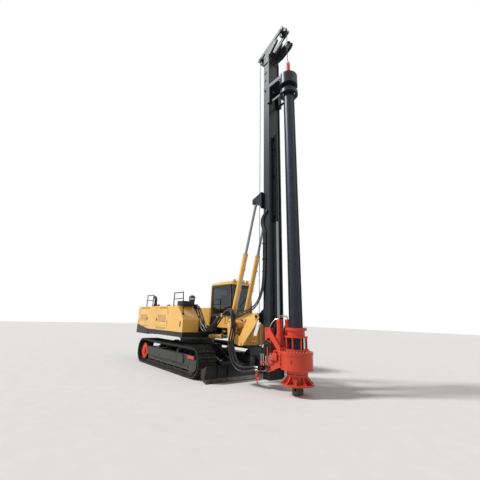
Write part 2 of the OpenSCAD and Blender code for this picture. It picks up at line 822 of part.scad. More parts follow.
module boom() {
    wide = [
        [1570, 1350], [1570, 1690], [2140, 1690], [2420, 1530], [2500, 1530], [2590, 1440],
        [2500, 1350], [2400, 1330], [2390, 1130], [2330, 1070], [2270, 1130], [2180, 1350]
    ];
    tongue = [
        [1200, 1400], [1200, 1480], [1230, 1690], [1700, 1690], [1700, 1350], [1280, 1350]
    ];
    floor_t = 35;
    color(yellow) placed() {
        both_sides() {
            difference() {
                union() {
                    side_plate(wide, [boom_half - boom_t, boom_half]);
                    side_plate(tongue, [tongue_half - 40, tongue_half]);
                    bar_y(boom_foot, 85, [0, tongue_half]);
                    bar_y(boom_head, 90, [0, boom_half]);
                    span([1570, 1640], [tongue_half - 5, boom_half - 5], [1350, 1690]);
                }
                bar_y(boom_head, pin_r, [-5, boom_half + 5]);
            }
            bar_y(luff_eye, 60, [boom_half - 5, luff_y - 35 - move_gap]);
        }
        span([1300, 2420], [-tongue_half + 1, tongue_half - 1], [1350, 1350 + floor_t]);
        span([1571, 2420], [-boom_half + 2, boom_half - 2], [1350, 1350 + floor_t]);
        bar_y(boom_foot, pin_r - fit_gap, [-160, 160]);
    }
}

module link() {
    half = 60;
    color(black) placed() {
        difference() {
            union() {
                span([link_foot[0], link_head[0]], [-half, half], [1058, 1142]);
                bar_y(link_foot, 80, [-tongue_half, tongue_half]);
                bar_y(link_head, 80, [-half, half]);
            }
            bar_y(link_head, pin_r, [-200, 200]);
        }
        bar_y(link_foot, pin_r - fit_gap, [-160, 160]);
    }
}

module luff_barrels() {
    color(yellow) placed() both_sides()
        translate([0, luff_y, 0]) aimed(luff_base, luff_eye)
            barrel(800, 62, 50, 60, 46, 32);
}

module luff_rods() {
    color(chrome) placed() both_sides()
        translate([0, luff_y, 0]) aimed(luff_base, luff_eye)
            piston_rod(360, dist(luff_base, luff_eye), 31, 52, 66, 26, 80);
}

module mast_carrier() {
    outline = [
        [2360, 1740], [3700, 1800], [3780, 1680], [3600, 1450], [3080, 925],
        [2930, 925], [2420, 1020], [2340, 1500]
    ];
    window = [[2700, 1600], [3280, 1620], [2980, 1180], [2700, 1150]];
    front = [[3060, 950], [3090, 950], [3480, 1780], [3445, 1780]];
    y0 = carrier_y;
    color(yellow) placed() {
        both_sides() {
            difference() {
                side_plate(outline, [y0, y0 + carrier_t]);
                side_plate(window, [y0 - 1, y0 + carrier_t + 1]);
                bar_y(mast_pivot, pin_r, [y0 - 1, y0 + carrier_t + 1]);
            }
            bar_y(boom_head, pin_r - fit_gap, [0, y0 + carrier_t + 15]);
            bar_y(mast_cyl_base, 40 - fit_gap, [mast_cyl_y - 45, y0 + 5]);
            bar_y([3000, 985], 60, [y0 + carrier_t - 1, y0 + carrier_t + 25]);
            side_plate(front, [75, y0 + 1]);
            side_plate([
                [2440, 1040], [2500, 1020], [2800, 1000], [2800, 1160], [2500, 1180], [2440, 1150]
            ], [65, 105]);
            bar_y([2760, 1080], 70, [0, y0 + 1]);
            bar_y([3000, 985], 55, [0, y0 + 1]);
        }
        bar_y(link_head, pin_r - fit_gap, [-110, 110]);
    }
}

module mast_cyl_barrels() {
    color(yellow) placed() both_sides()
        translate([0, mast_cyl_y, 0]) aimed(mast_cyl_base, mast_cyl_eye)
            barrel(1985, mast_barrel_r, 72, 70, 56, 40);
}

module mast_cyl_rods() {
    color(chrome) placed() both_sides()
        translate([0, mast_cyl_y, 0]) aimed(mast_cyl_base, mast_cyl_eye)
            piston_rod(1620, dist(mast_cyl_base, mast_cyl_eye), mast_rod_r, 60,
                       2 * mast_eye_half - 10, 30, 2 * mast_eye_half);
}

module mast() {
    half = mast_w / 2;
    lug = [
        [3600, 1640], [3620, 1560], [mast_back + 5, 1480], [mast_back + 5, 1920],
        [3620, 1790], [3600, 1760]
    ];
    eye_z = mast_cyl_eye[1];
    ear_t = 35;
    hub_t = 14;
    ear_out = mast_cyl_y + mast_eye_half + ear_t;
    ear = [
        [mast_cyl_eye[0] - 90, eye_z - 50], [mast_cyl_eye[0] - 90, eye_z + 120],
        [mast_back + 5, eye_z + 260], [mast_back + 5, eye_z - 260],
        [mast_cyl_eye[0] + 140, eye_z - 50]
    ];
    color(black) placed() {
        difference() {
            span([mast_back, mast_front], [-half, half], [mast_foot, mast_top]);
            span([mast_back + mast_t, mast_front - mast_t], [mast_t - half, half - mast_t],
                 [mast_foot + mast_t, mast_top - mast_t]);
        }
        both_sides() {
            span([mast_front - 1, mast_front + rail_x], [half - 20, half + 25],
                 [mast_foot + 40, mast_top - 200]);
            side_plate(lug, [half - 75, half - 15]);
            bar_y([mast_back + 80, 9880], 60, [half - 1, half + 22]);
            bar_y([mast_back + 80, 9540], 38, [half - 1, half + 18]);
            bar_y(mast_pivot, 80, [0, carrier_y - move_gap]);
            bar_y(mast_pivot, pin_r - fit_gap, [0, carrier_y + carrier_t + 14]);
            for (y = [mast_cyl_y - mast_eye_half - ear_t, mast_cyl_y + mast_eye_half])
                side_plate(ear, [y, y + ear_t]);
            for (y = [mast_cyl_y - mast_eye_half - ear_t - hub_t, ear_out])
                bar_y(mast_cyl_eye, 50, [y, y + hub_t]);
        }
        span([mast_back - 30, mast_back + 1], [-ear_out, ear_out], [eye_z - 260, eye_z + 260]);
        span([mast_back - 40, mast_front + 20], [-half - 30, half + 30], [10250, 10290]);
    }
}

module cathead() {
    half = mast_w / 2;
    beam_h = 65;
    beam_y = [120, 165];
    along = sheave_front_c - sheave_rear_c;
    head_l = norm(along);
    aux_box = [
        [3850, mast_top], [3850, 10800], [4180, 10960], [4470, 11070], [4600, 11050],
        [4700, 10950], [4700, 10840], [4600, 10740], [4200, mast_top]
    ];
    // Stand between the mast's top and the beams
    stand = [
        [mast_back, mast_top], [mast_back, 10930], [4230, 11110], [4400, 11060], [4360, 10960],
        [4050, 10700], [4050, mast_top]
    ];
    color(black) placed() {
        span([mast_back - 20, mast_front + 20], [-half, aux_y + 70], [mast_top, mast_top + 30]);
        both_sides() {
            side_plate(stand, [80, beam_y[1] - 5]);
            aimed(sheave_rear_c, sheave_front_c) {
                side_plate([
                    [-110, -beam_h], [-150, 0], [-110, beam_h], [head_l + 60, beam_h],
                    [head_l + 150, 10], [head_l + 100, -beam_h]
                ], beam_y);
                side_plate([
                    [head_l - 30, beam_h - 5], [head_l - 60, beam_h + 60], [head_l, beam_h + 60],
                    [head_l + 40, beam_h - 5]
                ], [beam_y[0], beam_y[0] + 20]);
            }
            bar_y(sheave_front_c, 60, [sheave_w / 2 + 8, beam_y[0] + 5]);
            bar_y(sheave_rear_c, 60, [sheave_w / 2 + 8, beam_y[0] + 5]);
        }
        span([mast_back, 4049], [-81, 81], [mast_top + 29, 10860]);
        for (y = [aux_y - sheave_w / 2 - 30, aux_y + sheave_w / 2 + 10])
            side_plate(aux_box, [y, y + 20]);
        span([3860, 3900], [beam_y[1] - 10, aux_y + sheave_w / 2 + 15], [mast_top + 29, 10790]);
        bar_y(sheave_front_c, 35 - fit_gap, [-beam_y[1] - 15, beam_y[1] + 15]);
        bar_y(sheave_rear_c, 35 - fit_gap, [-beam_y[1] - 15, beam_y[1] + 15]);
        bar_y(sheave_aux_c, 30 - fit_gap,
              [aux_y - sheave_w / 2 - 40, aux_y + sheave_w / 2 + 40]);
    }
}

// A rope sheave with a round groove in its rim
module sheave(c, r, y, hole_r) {
    rope_groove = 16;
    translate([c[0], y, c[1]]) rotate([90, 0, 0]) rotate_extrude() difference() {
        translate([hole_r, -sheave_w / 2]) square([r - hole_r, sheave_w]);
        translate([r, 0]) circle(r = rope_groove);
        translate([r * 0.45, sheave_w / 2 - 18]) square([r * 0.35, 30]);
        translate([r * 0.45, -sheave_w / 2 - 12]) square([r * 0.35, 30]);
    }
}

module sheave_front() {
    color(frame_grey) placed() sheave(sheave_front_c, sheave_r, 0, 35);
}

module sheave_rear() {
    color(frame_grey) placed() sheave(sheave_rear_c, sheave_r, 0, 35);
}

module sheave_aux() {
    color(frame_grey) placed() sheave(sheave_aux_c, aux_r, aux_y, 30);
}

module crowd_barrel() {
    color(black) placed() {
        difference() {
            union() {
                bar_z([crowd_x, 0], crowd_barrel_r, crowd_z);
                bar_z([crowd_x, 0], crowd_barrel_r + 9, [crowd_z[0], crowd_z[0] + 90]);
                for (z = [crowd_z[0] + 130, 5800, crowd_z[1] - 120])
                    span([mast_front, crowd_x - 10], [-45, 45], [z, z + 60]);
            }
            bar_z([crowd_x, 0], crowd_rod_r + 4, [crowd_z[0] - 1, crowd_z[1] - 60]);
        }
    }
}

module winch_frame() {
    cheek = [
        [3260, 480], [3260, 780], [3420, 900], [mast_back, 940], [mast_back, 340], [3380, 340]
    ];
    color(black) placed() {
        for (y = [-225, 200])
            side_plate(cheek, [y, y + 25]);
        span([mast_back - 25, mast_back], [-201, 201], [360, 900]);
        bar_y(winch_axis, 110, [-330, -224]);
        bar_y(winch_axis, 30 - fit_gap, [-220, 240]);
    }
}

module winch_drum() {
    flange_r = 205;
    drum_r = 100;
    color(frame_grey) placed() difference() {
        union() {
            bar_y(winch_axis, drum_r, [-190, 190]);
            bar_y(winch_axis, flange_r, [-190, -170]);
            bar_y(winch_axis, flange_r, [170, 190]);
        }
        bar_y(winch_axis, 30, [-191, 191]);
    }
}

// Hook block parked on a bracket at the mast's right side
module aux_hook() {
    at = [3720, -360];
    color(drive_red) placed() {
        difference() {
            rod([at[0], at[1], 440], [mast_back + 80, 20 - mast_w / 2, 440], 14);
            span([mast_back - 20, mast_back + 150], [-seat_gap - mast_w / 2, 0], [400, 480]);
        }
        bar_z(at, 45, [280, 431]);
        bar_z(at, 14, [240, 281]);
        translate([at[0] + 34, at[1], 190]) rotate([90, 0, 0])
            rotate_extrude(angle = 270) translate([55, 0]) circle(r = 17);
    }
}

module drive_carriage() {
    half = mast_w / 2;
    plate = [
        [3930, 420], [4060, 400], [4340, 520], [4600, 600], [4590, 880], [4080, 1440],
        [3930, 1440]
    ];
    // The side plates are open around the valves and hoses
    opening = [
        [3929, 1110], [4040, 1180], [4110, 1200], [4410, 890], [4410, 680], [4210, 660],
        [3929, 580]
    ];
    color(drive_red) placed() {
        both_sides() {
            difference() {
                side_plate(plate, [half + 30, half + 60]);
                side_plate(opening, [half + 29, half + 61]);
                bar_z([kelly_x, 0], gearbox_r, [0, 2000], $fn = 120);
            }
            for (z = [430, 1240])
                span([slide_x, slide_x + 40], [half - 100, half + 31],
                     [z, z + 190]);
            span([slide_x, slide_x + 40], [half - 30, half + 31], [440, 1420]);
        }
        span([slide_x, slide_x + 30], [-half - 31, half + 31], [940, 1010]);
    }
}

module drive_gearbox() {
    eye_r = 40;
    color(drive_red) placed() difference() {
        union() {
            bar_z([kelly_x, 0], gearbox_r - 14, gear_z);
            bar_z([kelly_x, 0], gearbox_r, [gear_z[1] - 70, gear_z[1]]);
            bar_z([kelly_x, 0], gearbox_r, [gear_z[0], gear_z[0] + 40]);
            bar_z([kelly_x, 0], 250, [460, gear_z[0] + 1]);
            for (a = [0, 115, 245])
                translate([kelly_x, 0, 0]) rotate([0, 0, a]) difference() {
                    union() {
                        bar_y([348, gear_z[1] + eye_r], eye_r, [-14, 14]);
                        span([348 - eye_r, 348 + eye_r], [-14, 14],
                             [gear_z[1] - 5, gear_z[1] + eye_r]);
                    }
                    bar_y([348, gear_z[1] + eye_r], eye_r / 2, [-15, 15]);
                }
            span([4240, kelly_x], [-mast_w / 2 - 30, mast_w / 2 + 30], [600, gear_z[1]]);
        }
        bar_z([kelly_x, 0], gear_bore, [400, 1000]);
    }
}

module drive_motors() {
    color(drive_red) placed() both_sides() {
        bar_z([4330, 150], 85, [gear_z[1], 1200]);
        bar_z([4330, 150], 100, [1200, 1260]);
        bar_z([4330, 150], 70, [1260, 1650]);
    }
}

module crowd_rod() {
    color(chrome) placed() {
        bar_z([crowd_x, 0], crowd_rod_r, [1010, crowd_z[0] + 280]);
    }
}

// Turning part of the drive: inner sleeve, flared bell below and spring cage above
module drive_sleeve() {
    cage_posts = 8;
    color(drive_red) placed() difference() {
        union() {
            bar_z([kelly_x, 0], sleeve_r, [230, cage_z]);
            bar_z([kelly_x, 0], gear_bore - seat_gap, [680, 760]);
            bar_z([kelly_x, 0], bell_r, [220, 255]);
            bar_z([kelly_x, 0], 248, [405, 452]);
            for (i = [0:9])
                translate([kelly_x, 0, 0]) rotate([0, 0, (i + 0.5) * 36])
                    side_plate([
                        [200, 254], [bell_r - 12, 254], [bell_r - 25, 275], [310, 320],
                        [262, 380], [244, 406], [200, 406]
                    ], [-14, 14]);
            bar_z([kelly_x, 0], 300, [936, 980]);
            bar_z([kelly_x, 0], 280, [1240, 1275]);
            bar_z([kelly_x, 0], 262, [1400, cage_z]);
            for (i = [0:cage_posts - 1])
                let (a = (i + 0.5) * 360 / cage_posts)
                bar_z([kelly_x + 258 * cos(a), 258 * sin(a)], 17, [979, 1241]);
        }
        bar_z([kelly_x, 0], sleeve_in, [200, cage_z + 1]);
        // The cage is open between its posts, so that the kelly shows
        bar_z([kelly_x, 0], 228, [985, 1236]);
        for (i = [0:9])
            let (a = i * 36)
            bar_z([kelly_x + 350 * cos(a), 350 * sin(a)], 13, [200, 300]);
    }
}

module kelly_guide() {
    half = mast_w / 2;
    ring_in = kelly_r + key_h + 18;
    arm_z = guide_z[1] - 160;
    x0 = slide_x;
    color(black) placed() difference() {
        union() {
            for (z = [guide_z, guide_low_z])
                bar_z([kelly_x, 0], ring_in + 90, z);
            both_sides() {
                span([mast_back + 60, kelly_x], [half + 30, half + 60], [arm_z, arm_z + 130]);
                span([x0, kelly_x], [170, 200], [guide_low_z[0] + 20, guide_low_z[1] - 20]);
            }
            span([x0 + 1, kelly_x - 215], [-half - 60, half + 60], [arm_z, arm_z + 25]);
            both_sides() {
                span([x0, x0 + 60], [130, half + 60], [guide_low_z[0], guide_z[1]]);
                span([mast_front - 60, x0 + 1], [half + 30, half + 60],
                     [guide_low_z[0], guide_z[1]]);
            }
        }
        for (z = [guide_z, guide_low_z])
            bar_z([kelly_x, 0], ring_in, [z[0] - 1, z[1] + 1]);
    }
}

module kelly_tube() {
    key_w = 30;
    color(steel) placed() difference() {
        union() {
            bar_z([kelly_x, 0], kelly_r, [kelly_foot, kelly_head + 60]);
            bar_z([kelly_x, 0], kelly_r + 60, [kelly_head, kelly_head + 60]);
            for (i = [0:5])
                translate([kelly_x, 0, 0]) rotate([0, 0, 60 * i + 15])
                    span([kelly_r - 5, kelly_r + key_h], [-key_w / 2, key_w / 2],
                         [kelly_foot + 60, kelly_head - 10]);
        }
        bar_z([kelly_x, 0], kelly_bore, [kelly_foot - 1, kelly_head + 61]);
    }
}

module inner_kelly() {
    color(steel) placed() difference() {
        union() {
            bar_z([kelly_x, 0], inner_r, [kelly_foot, swivel_z[0]]);
            bar_z([kelly_x, 0], kelly_bore - seat_gap, [kelly_head - 80, kelly_head + 40]);
            span([kelly_x - stub_w / 2, kelly_x + stub_w / 2], [-stub_w / 2, stub_w / 2],
                 [stub_z, kelly_foot + 1]);
        }
        bar_y([kelly_x, 120], tool_pin_r, [-stub_w, stub_w]);
    }
}

module swivel() {
    color(drive_red) placed() {
        bar_z([kelly_x, 0], 78, [swivel_z[0], swivel_z[0] + 90]);
        bar_z([kelly_x, 0], 70, [swivel_z[0] + 89, swivel_z[0] + 330]);
        bar_z([kelly_x, 0], 50, [swivel_z[0] + 329, swivel_z[1] - 110]);
        difference() {
            bar_y([kelly_x, swivel_z[1] - 60], 60, [-30, 30]);
            bar_y([kelly_x, swivel_z[1] - 60], 24, [-31, 31]);
        }
    }
}

carbody();
slew_ring();
track_frames();
track_right();
track_left();
track_wheels();
track_caps();
front_blade();
blade_barrels();
blade_rods();
deck();
counterweight();
centre_cover();
right_hood();
left_hood();
engine_block();
hood_door_front();
hood_door_rear();
tanks();
cab_shell();
cab_glass();
cab_door();
door_glass();
cab_seat();
handrails();
filter_box();
boom();
link();
luff_barrels();
luff_rods();
mast_carrier();
mast_cyl_barrels();
mast_cyl_rods();
mast();
cathead();
sheave_front();
sheave_rear();
sheave_aux();
crowd_barrel();
winch_frame();
winch_drum();
aux_hook();
drive_carriage();
drive_gearbox();
drive_motors();
crowd_rod();
drive_sleeve();
kelly_guide();
kelly_tube();
inner_kelly();
swivel();
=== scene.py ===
import math

import bmesh
import bpy
from mathutils import Matrix, Vector


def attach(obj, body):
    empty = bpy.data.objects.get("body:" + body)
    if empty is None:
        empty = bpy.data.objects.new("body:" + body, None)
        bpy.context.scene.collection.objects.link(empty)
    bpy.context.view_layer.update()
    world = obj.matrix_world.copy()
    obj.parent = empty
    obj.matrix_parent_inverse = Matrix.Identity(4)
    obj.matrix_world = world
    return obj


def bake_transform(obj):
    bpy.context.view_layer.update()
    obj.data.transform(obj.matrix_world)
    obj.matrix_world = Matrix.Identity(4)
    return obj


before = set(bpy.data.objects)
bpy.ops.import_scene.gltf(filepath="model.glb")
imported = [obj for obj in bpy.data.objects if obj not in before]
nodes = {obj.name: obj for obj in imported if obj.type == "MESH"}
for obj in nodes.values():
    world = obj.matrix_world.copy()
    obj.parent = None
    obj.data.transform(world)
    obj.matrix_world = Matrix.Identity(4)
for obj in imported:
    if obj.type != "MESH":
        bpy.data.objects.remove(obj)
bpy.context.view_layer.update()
print("frame loaded:", len(nodes), "nodes")

slewAxisX = -1.010  # the part's outlines start at the slew axis, which stands here


def mm(x, y, z):
    # millimetres from the slew axis, as in the part's source, to metres
    return Vector((x / 1000 + slewAxisX, y / 1000, z / 1000))


def linear(hexColour):
    parts = [int(hexColour[i:i + 2], 16) / 255 for i in (1, 3, 5)]
    return [c / 12.92 if c <= 0.04045 else ((c + 0.055) / 1.055) ** 2.4 for c in parts] + [1.0]


def addNode(tree, kind, inputs=None, out=0, **settings):
    # each input is a number, a colour in hex or the socket that feeds it
    node = tree.nodes.new(kind)
    for name, value in settings.items():
        setattr(node, name, value)
    for socket, value in (inputs or {}).items():
        if isinstance(value, bpy.types.NodeSocket):
            tree.links.new(value, node.inputs[socket])
        else:
            node.inputs[socket].default_value = linear(value) if isinstance(value, str) else value
    return node.outputs[out] if node.outputs else None


def newMaterial(name):
    material = bpy.data.materials.new(name)
    material.use_nodes = True
    tree = material.node_tree
    tree.nodes.clear()
    return material, tree, addNode(tree, "ShaderNodeTexCoord", out="Object")


def finishMaterial(material, colour, rough, inputs, normal=None):
    tree = material.node_tree
    inputs = {"Base Color": colour, "Roughness": rough, **inputs}
    if normal is not None:
        inputs["Normal"] = normal
    shader = addNode(tree, "ShaderNodeBsdfPrincipled", inputs)
    addNode(tree, "ShaderNodeOutputMaterial", {"Surface": shader})
    return material


def twoTones(tree, noise, low, high, shade, colour):
    # shade and colour in patches, split between two levels of a noise
    share = addNode(tree, "ShaderNodeMapRange", {"From Min": low, "From Max": high, "Value": noise})
    return addNode(tree, "ShaderNodeMix", {0: share, 6: shade, 7: colour}, 2, data_type="RGBA")


def nearGround(tree, coords, top, share):
    # a share that falls from the ground to nothing at the top, in metres
    height = addNode(tree, "ShaderNodeSeparateXYZ", {"Vector": coords}, "Z")
    return addNode(tree, "ShaderNodeMapRange",
                   {"From Max": top, "To Min": share, "To Max": 0.0, "Value": height})


def enamel(name, colour, shade, dust, dustTop, rough, dustShare=0.5, film=0.12, coat=0.2,
           specular=0.5):
    # two-pack machinery enamel sprayed on welded plate: an even gloss with a faint orange
    # peel of 2-3 mm, slow changes of tone between panels, and pale road dust near the ground
    material, tree, coords = newMaterial(name)
    tone = addNode(tree, "ShaderNodeTexNoise", {"Scale": 1.3, "Detail": 3.0, "Vector": coords})
    base = twoTones(tree, tone, 0.3, 0.62, shade, colour)
    low = nearGround(tree, coords, dustTop, dustShare)
    streaks = addNode(tree, "ShaderNodeMapping", {"Scale": (9.0, 9.0, 1.6), "Vector": coords})
    runs = addNode(tree, "ShaderNodeTexNoise",
                   {"Scale": 1.0, "Detail": 5.0, "Roughness": 0.6, "Vector": streaks})
    patch = addNode(tree, "ShaderNodeMapRange", {"From Min": 0.42, "From Max": 0.75, "Value": runs})
    trace = addNode(tree, "ShaderNodeMath", {0: patch, 1: film}, operation="MULTIPLY")
    lowFilm = addNode(tree, "ShaderNodeMath", {0: low, 1: runs}, operation="MULTIPLY")
    both = addNode(tree, "ShaderNodeMath", {0: lowFilm, 1: trace}, operation="ADD", use_clamp=True)
    dusty = addNode(tree, "ShaderNodeMix", {0: both, 6: base, 7: dust}, 2, data_type="RGBA")
    gloss = addNode(tree, "ShaderNodeMapRange",
                    {"To Min": rough, "To Max": min(1.0, rough + 0.35), "Value": both})
    peel = addNode(tree, "ShaderNodeTexNoise", {"Scale": 350.0, "Detail": 1.0, "Vector": coords})
    bump = addNode(tree, "ShaderNodeBump", {"Strength": 0.04, "Distance": 0.001, "Height": peel})
    return finishMaterial(material, dusty, gloss,
                          {"IOR": 1.5, "Specular IOR Level": specular, "Coat Weight": coat,
                           "Coat Roughness": 0.12}, bump)


def roughSteel(name, colour, shade, dust, metallic, rough, grain, dustTop=1.0, dustShare=0.6):
    # rolled or cast steel, worn and oiled in work: broken dark and bright tones a few
    # centimetres wide, a pitted skin of about a millimetre, dry soil in the low parts
    material, tree, coords = newMaterial(name)
    tone = addNode(tree, "ShaderNodeTexNoise",
                   {"Scale": 14.0, "Detail": 6.0, "Roughness": 0.65, "Vector": coords})
    base = twoTones(tree, tone, 0.35, 0.65, shade, colour)
    low = nearGround(tree, coords, dustTop, dustShare)
    earth = addNode(tree, "ShaderNodeTexNoise",
                    {"Scale": 6.0, "Detail": 7.0, "Roughness": 0.7, "Vector": coords})
    cake = addNode(tree, "ShaderNodeMapRange", {"From Min": 0.4, "From Max": 0.66, "Value": earth})
    share = addNode(tree, "ShaderNodeMath", {0: low, 1: cake}, operation="MULTIPLY", use_clamp=True)
    dirty = addNode(tree, "ShaderNodeMix", {0: share, 6: base, 7: dust}, 2, data_type="RGBA")
    gloss = addNode(tree, "ShaderNodeMapRange",
                    {"To Min": rough, "To Max": rough + 0.18, "Value": tone})
    pits = addNode(tree, "ShaderNodeTexNoise",
                   {"Scale": 1000 / grain, "Detail": 3.0, "Vector": coords})
    bump = addNode(tree, "ShaderNodeBump", {"Strength": 0.25, "Distance": 0.001, "Height": pits})
    return finishMaterial(material, dirty, gloss, {"Metallic": metallic}, bump)


def brightMetal(name, colour, shade, rough, markScale):
    # plated or polished metal: a mirror with fine marks of the last pass of the tool,
    # drawn about 2 mm apart on turned rods so that they still show in the picture
    material, tree, coords = newMaterial(name)
    marks = addNode(tree, "ShaderNodeTexNoise",
                    {"Scale": markScale, "Detail": 2.0, "Vector": coords})
    tone = addNode(tree, "ShaderNodeMix", {0: marks, 6: shade, 7: colour}, 2, data_type="RGBA")
    gloss = addNode(tree, "ShaderNodeMapRange",
                    {"To Min": rough, "To Max": rough + 0.1, "Value": marks})
    return finishMaterial(material, tone, gloss, {"Metallic": 1.0})


def rubber(name, colour, rough):
    # moulded or extruded black rubber: nearly black, a soft broad sheen, greyed by dust
    material, tree, coords = newMaterial(name)
    bloom = addNode(tree, "ShaderNodeTexNoise", {"Scale": 22.0, "Detail": 5.0, "Vector": coords})
    share = addNode(tree, "ShaderNodeMapRange",
                    {"From Min": 0.45, "From Max": 0.8, "To Max": 0.4, "Value": bloom})
    tone = addNode(tree, "ShaderNodeMix", {0: share, 6: colour, 7: "#4A4845"}, 2, data_type="RGBA")
    gloss = addNode(tree, "ShaderNodeMapRange",
                    {"To Min": rough, "To Max": rough + 0.2, "Value": bloom})
    skin = addNode(tree, "ShaderNodeTexNoise", {"Scale": 700.0, "Vector": coords})
    bump = addNode(tree, "ShaderNodeBump", {"Strength": 0.15, "Distance": 0.001, "Height": skin})
    return finishMaterial(material, tone, gloss, {"IOR": 1.52}, bump)


def tintedGlass(name, colour):
    # toughened float glass with a light grey-green tint: clear, with a film of dust
    material, tree, coords = newMaterial(name)
    film = addNode(tree, "ShaderNodeTexNoise", {"Scale": 5.0, "Detail": 4.0, "Vector": coords})
    gloss = addNode(tree, "ShaderNodeMapRange", {"To Min": 0.0, "To Max": 0.06, "Value": film})
    tint = addNode(tree, "ShaderNodeMix", {0: film, 6: colour, 7: "#6C7C80"}, 2, data_type="RGBA")
    return finishMaterial(material, tint, gloss, {"Transmission Weight": 1.0, "IOR": 1.45})


def vinyl(name, colour):
    # grained vinyl on the seat and console: leather grain about 2 mm across
    material, tree, coords = newMaterial(name)
    grain = addNode(tree, "ShaderNodeTexVoronoi", {"Scale": 450.0, "Vector": coords}, "Distance")
    tone = addNode(tree, "ShaderNodeMix", {0: grain, 6: colour, 7: "#303236"}, 2, data_type="RGBA")
    wear = addNode(tree, "ShaderNodeTexNoise", {"Scale": 9.0, "Vector": coords})
    gloss = addNode(tree, "ShaderNodeMapRange", {"To Min": 0.45, "To Max": 0.7, "Value": wear})
    bump = addNode(tree, "ShaderNodeBump", {"Strength": 0.4, "Distance": 0.001, "Height": grain})
    return finishMaterial(material, tone, gloss, {"IOR": 1.5}, bump)


def lampLens(name, colour):
    # pressed lamp glass with upright flutes 8 mm apart, with a white highlight painted along each
    # flute
    material, tree, coords = newMaterial(name)
    flutes = addNode(tree, "ShaderNodeTexWave", {"Scale": 20.0, "Vector": coords}, "Fac",
                     bands_direction="Y")
    # painted highlight: the colour turns white along each flute
    tone = addNode(tree, "ShaderNodeMix", {0: flutes, 6: colour, 7: "#FFFFFF"}, 2, data_type="RGBA")
    gloss = addNode(tree, "ShaderNodeMapRange", {"To Min": 0.05, "To Max": 0.15, "Value": flutes})
    bump = addNode(tree, "ShaderNodeBump", {"Strength": 0.5, "Distance": 0.002, "Height": flutes})
    return finishMaterial(material, tone, gloss, {"IOR": 1.5}, bump)


soil = "#8B8071"
materials = {
    "yellowEnamel": enamel("yellow enamel on steel plate", "#F1BC5F", "#E8AF4F", "#B79B6C",
                           1.6, 0.32),
    "blackEnamel": enamel("black enamel on steel plate", "#1C2227", "#14181D", "#4E4B47", 1.1, 0.36,
                          0.3, 0.06, 0.0, 0.28),
    "greyEnamel": enamel("dark grey-green enamel on steel", "#262E2D", "#1F2625", soil, 1.0, 0.42,
                         0.25, 0.06, 0.0, 0.35),
    "redEnamel": enamel("orange-red enamel on steel castings", "#DB4226", "#C8371E", "#8F6A55",
                        1.2, 0.34, 0.3, 0.08, 0.06, 0.4),
    "trackSteel": roughSteel("rolled track steel, soiled", "#262627", "#18181A", soil,
                             0.35, 0.5, 2.0, 0.9, 0.3),
    "machinedSteel": roughSteel("machined steel, oiled", "#5E6164", "#3F4245", soil,
                                0.9, 0.28, 1.5, 0.9),
    "kellySteel": roughSteel("phosphated kelly tube steel", "#262B37", "#191C26", soil,
                             0.42, 0.3, 2.5, 0.6, 0.5),
    # the chrome colour is hard chrome darkened towards grey: the darkening is painted shade on the
    # piston rods
    "chrome": brightMetal("hard chrome on piston rod", "#A4A9AD", "#858B91", 0.1, 500.0),
    "zincPlate": brightMetal("zinc-plated hose fitting", "#C6C4BC", "#A19F98", 0.25, 60.0),
    "wireRope": roughSteel("galvanised wire rope, greased", "#4C4C4C", "#26262A", soil,
                           0.7, 0.45, 3.0, 1.0, 0.3),
    "hoseRubber": rubber("black hydraulic hose rubber", "#0F0F11", 0.3),
    "sealRubber": rubber("black window seal rubber", "#0E0F11", 0.5),
    "glass": tintedGlass("tinted cab glass", "#5C6C70"),
    "seatVinyl": vinyl("grained black seat vinyl", "#1B1C1F"),
    "clearLens": lampLens("clear fluted lamp glass", "#D9DCDC"),
    "redLens": lampLens("red fluted lamp glass", "#B31F1B"),
}

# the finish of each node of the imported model
nodeFinish = {
    "yellowEnamel": ["right_hood", "left_hood", "hood_door_front", "hood_door_rear", "cab_shell",
                     "cab_door", "boom", "luff_barrels", "mast_carrier", "mast_cyl_barrels"],
    "blackEnamel": ["handrails", "front_blade", "deck", "counterweight", "centre_cover",
                    "filter_box", "link", "mast", "cathead", "crowd_barrel", "winch_frame",
                    "kelly_guide", "sheave_front", "sheave_rear", "sheave_aux"],
    "greyEnamel": ["carbody", "track_frames", "blade_barrels", "tanks", "winch_drum",
                   "engine_block"],
    "redEnamel": ["track_caps", "aux_hook", "drive_carriage", "drive_gearbox", "drive_motors",
                  "drive_sleeve", "swivel"],
    "trackSteel": ["track_right", "track_left", "track_wheels"],
    "machinedSteel": ["slew_ring"],
    "kellySteel": ["kelly_tube", "inner_kelly"],
    "chrome": ["blade_rods", "luff_rods", "mast_cyl_rods", "crowd_rod"],
    "glass": ["cab_glass", "door_glass"],
    "seatVinyl": ["cab_seat"],
}
for finish, names in nodeFinish.items():
    for name in names:
        mesh = nodes[name].data
        mesh.materials.clear()
        mesh.materials.append(materials[finish])
print("finishes on", sum(len(v) for v in nodeFinish.values()), "nodes")

cameraSetup = {
    "place": (10.2034 + slewAxisX, -5.9345, 1.65),
    "turnedFromX": 37.0,  # the machine's side runs this many degrees off the view
    "pitch": 19.0,
    "lean": 1.66,
    "lens": 302 / 480 * 36,
    "shiftY": -26 / 480,
    "clip": (0.1, 300),
}
turn, pitch, lean = (math.radians(cameraSetup[k]) for k in ("turnedFromX", "pitch", "lean"))
ahead = Vector((-math.cos(turn), math.sin(turn), 0))
toRight = Vector((math.sin(turn), math.cos(turn), 0))
viewDir = ahead * math.cos(pitch) + Vector((0, 0, math.sin(pitch)))
upDir = Vector((0, 0, math.cos(pitch))) - ahead * math.sin(pitch)
right = toRight * math.cos(lean) + upDir * math.sin(lean)
up = upDir * math.cos(lean) - toRight * math.sin(lean)
scene = bpy.context.scene
camera = bpy.data.objects.new("camera", bpy.data.cameras.new("camera"))
scene.collection.objects.link(camera)
camera.matrix_world = Matrix.Translation(cameraSetup["place"]) @ Matrix(
    (right, up, -viewDir)).transposed().to_4x4()
camera.data.lens = cameraSetup["lens"]
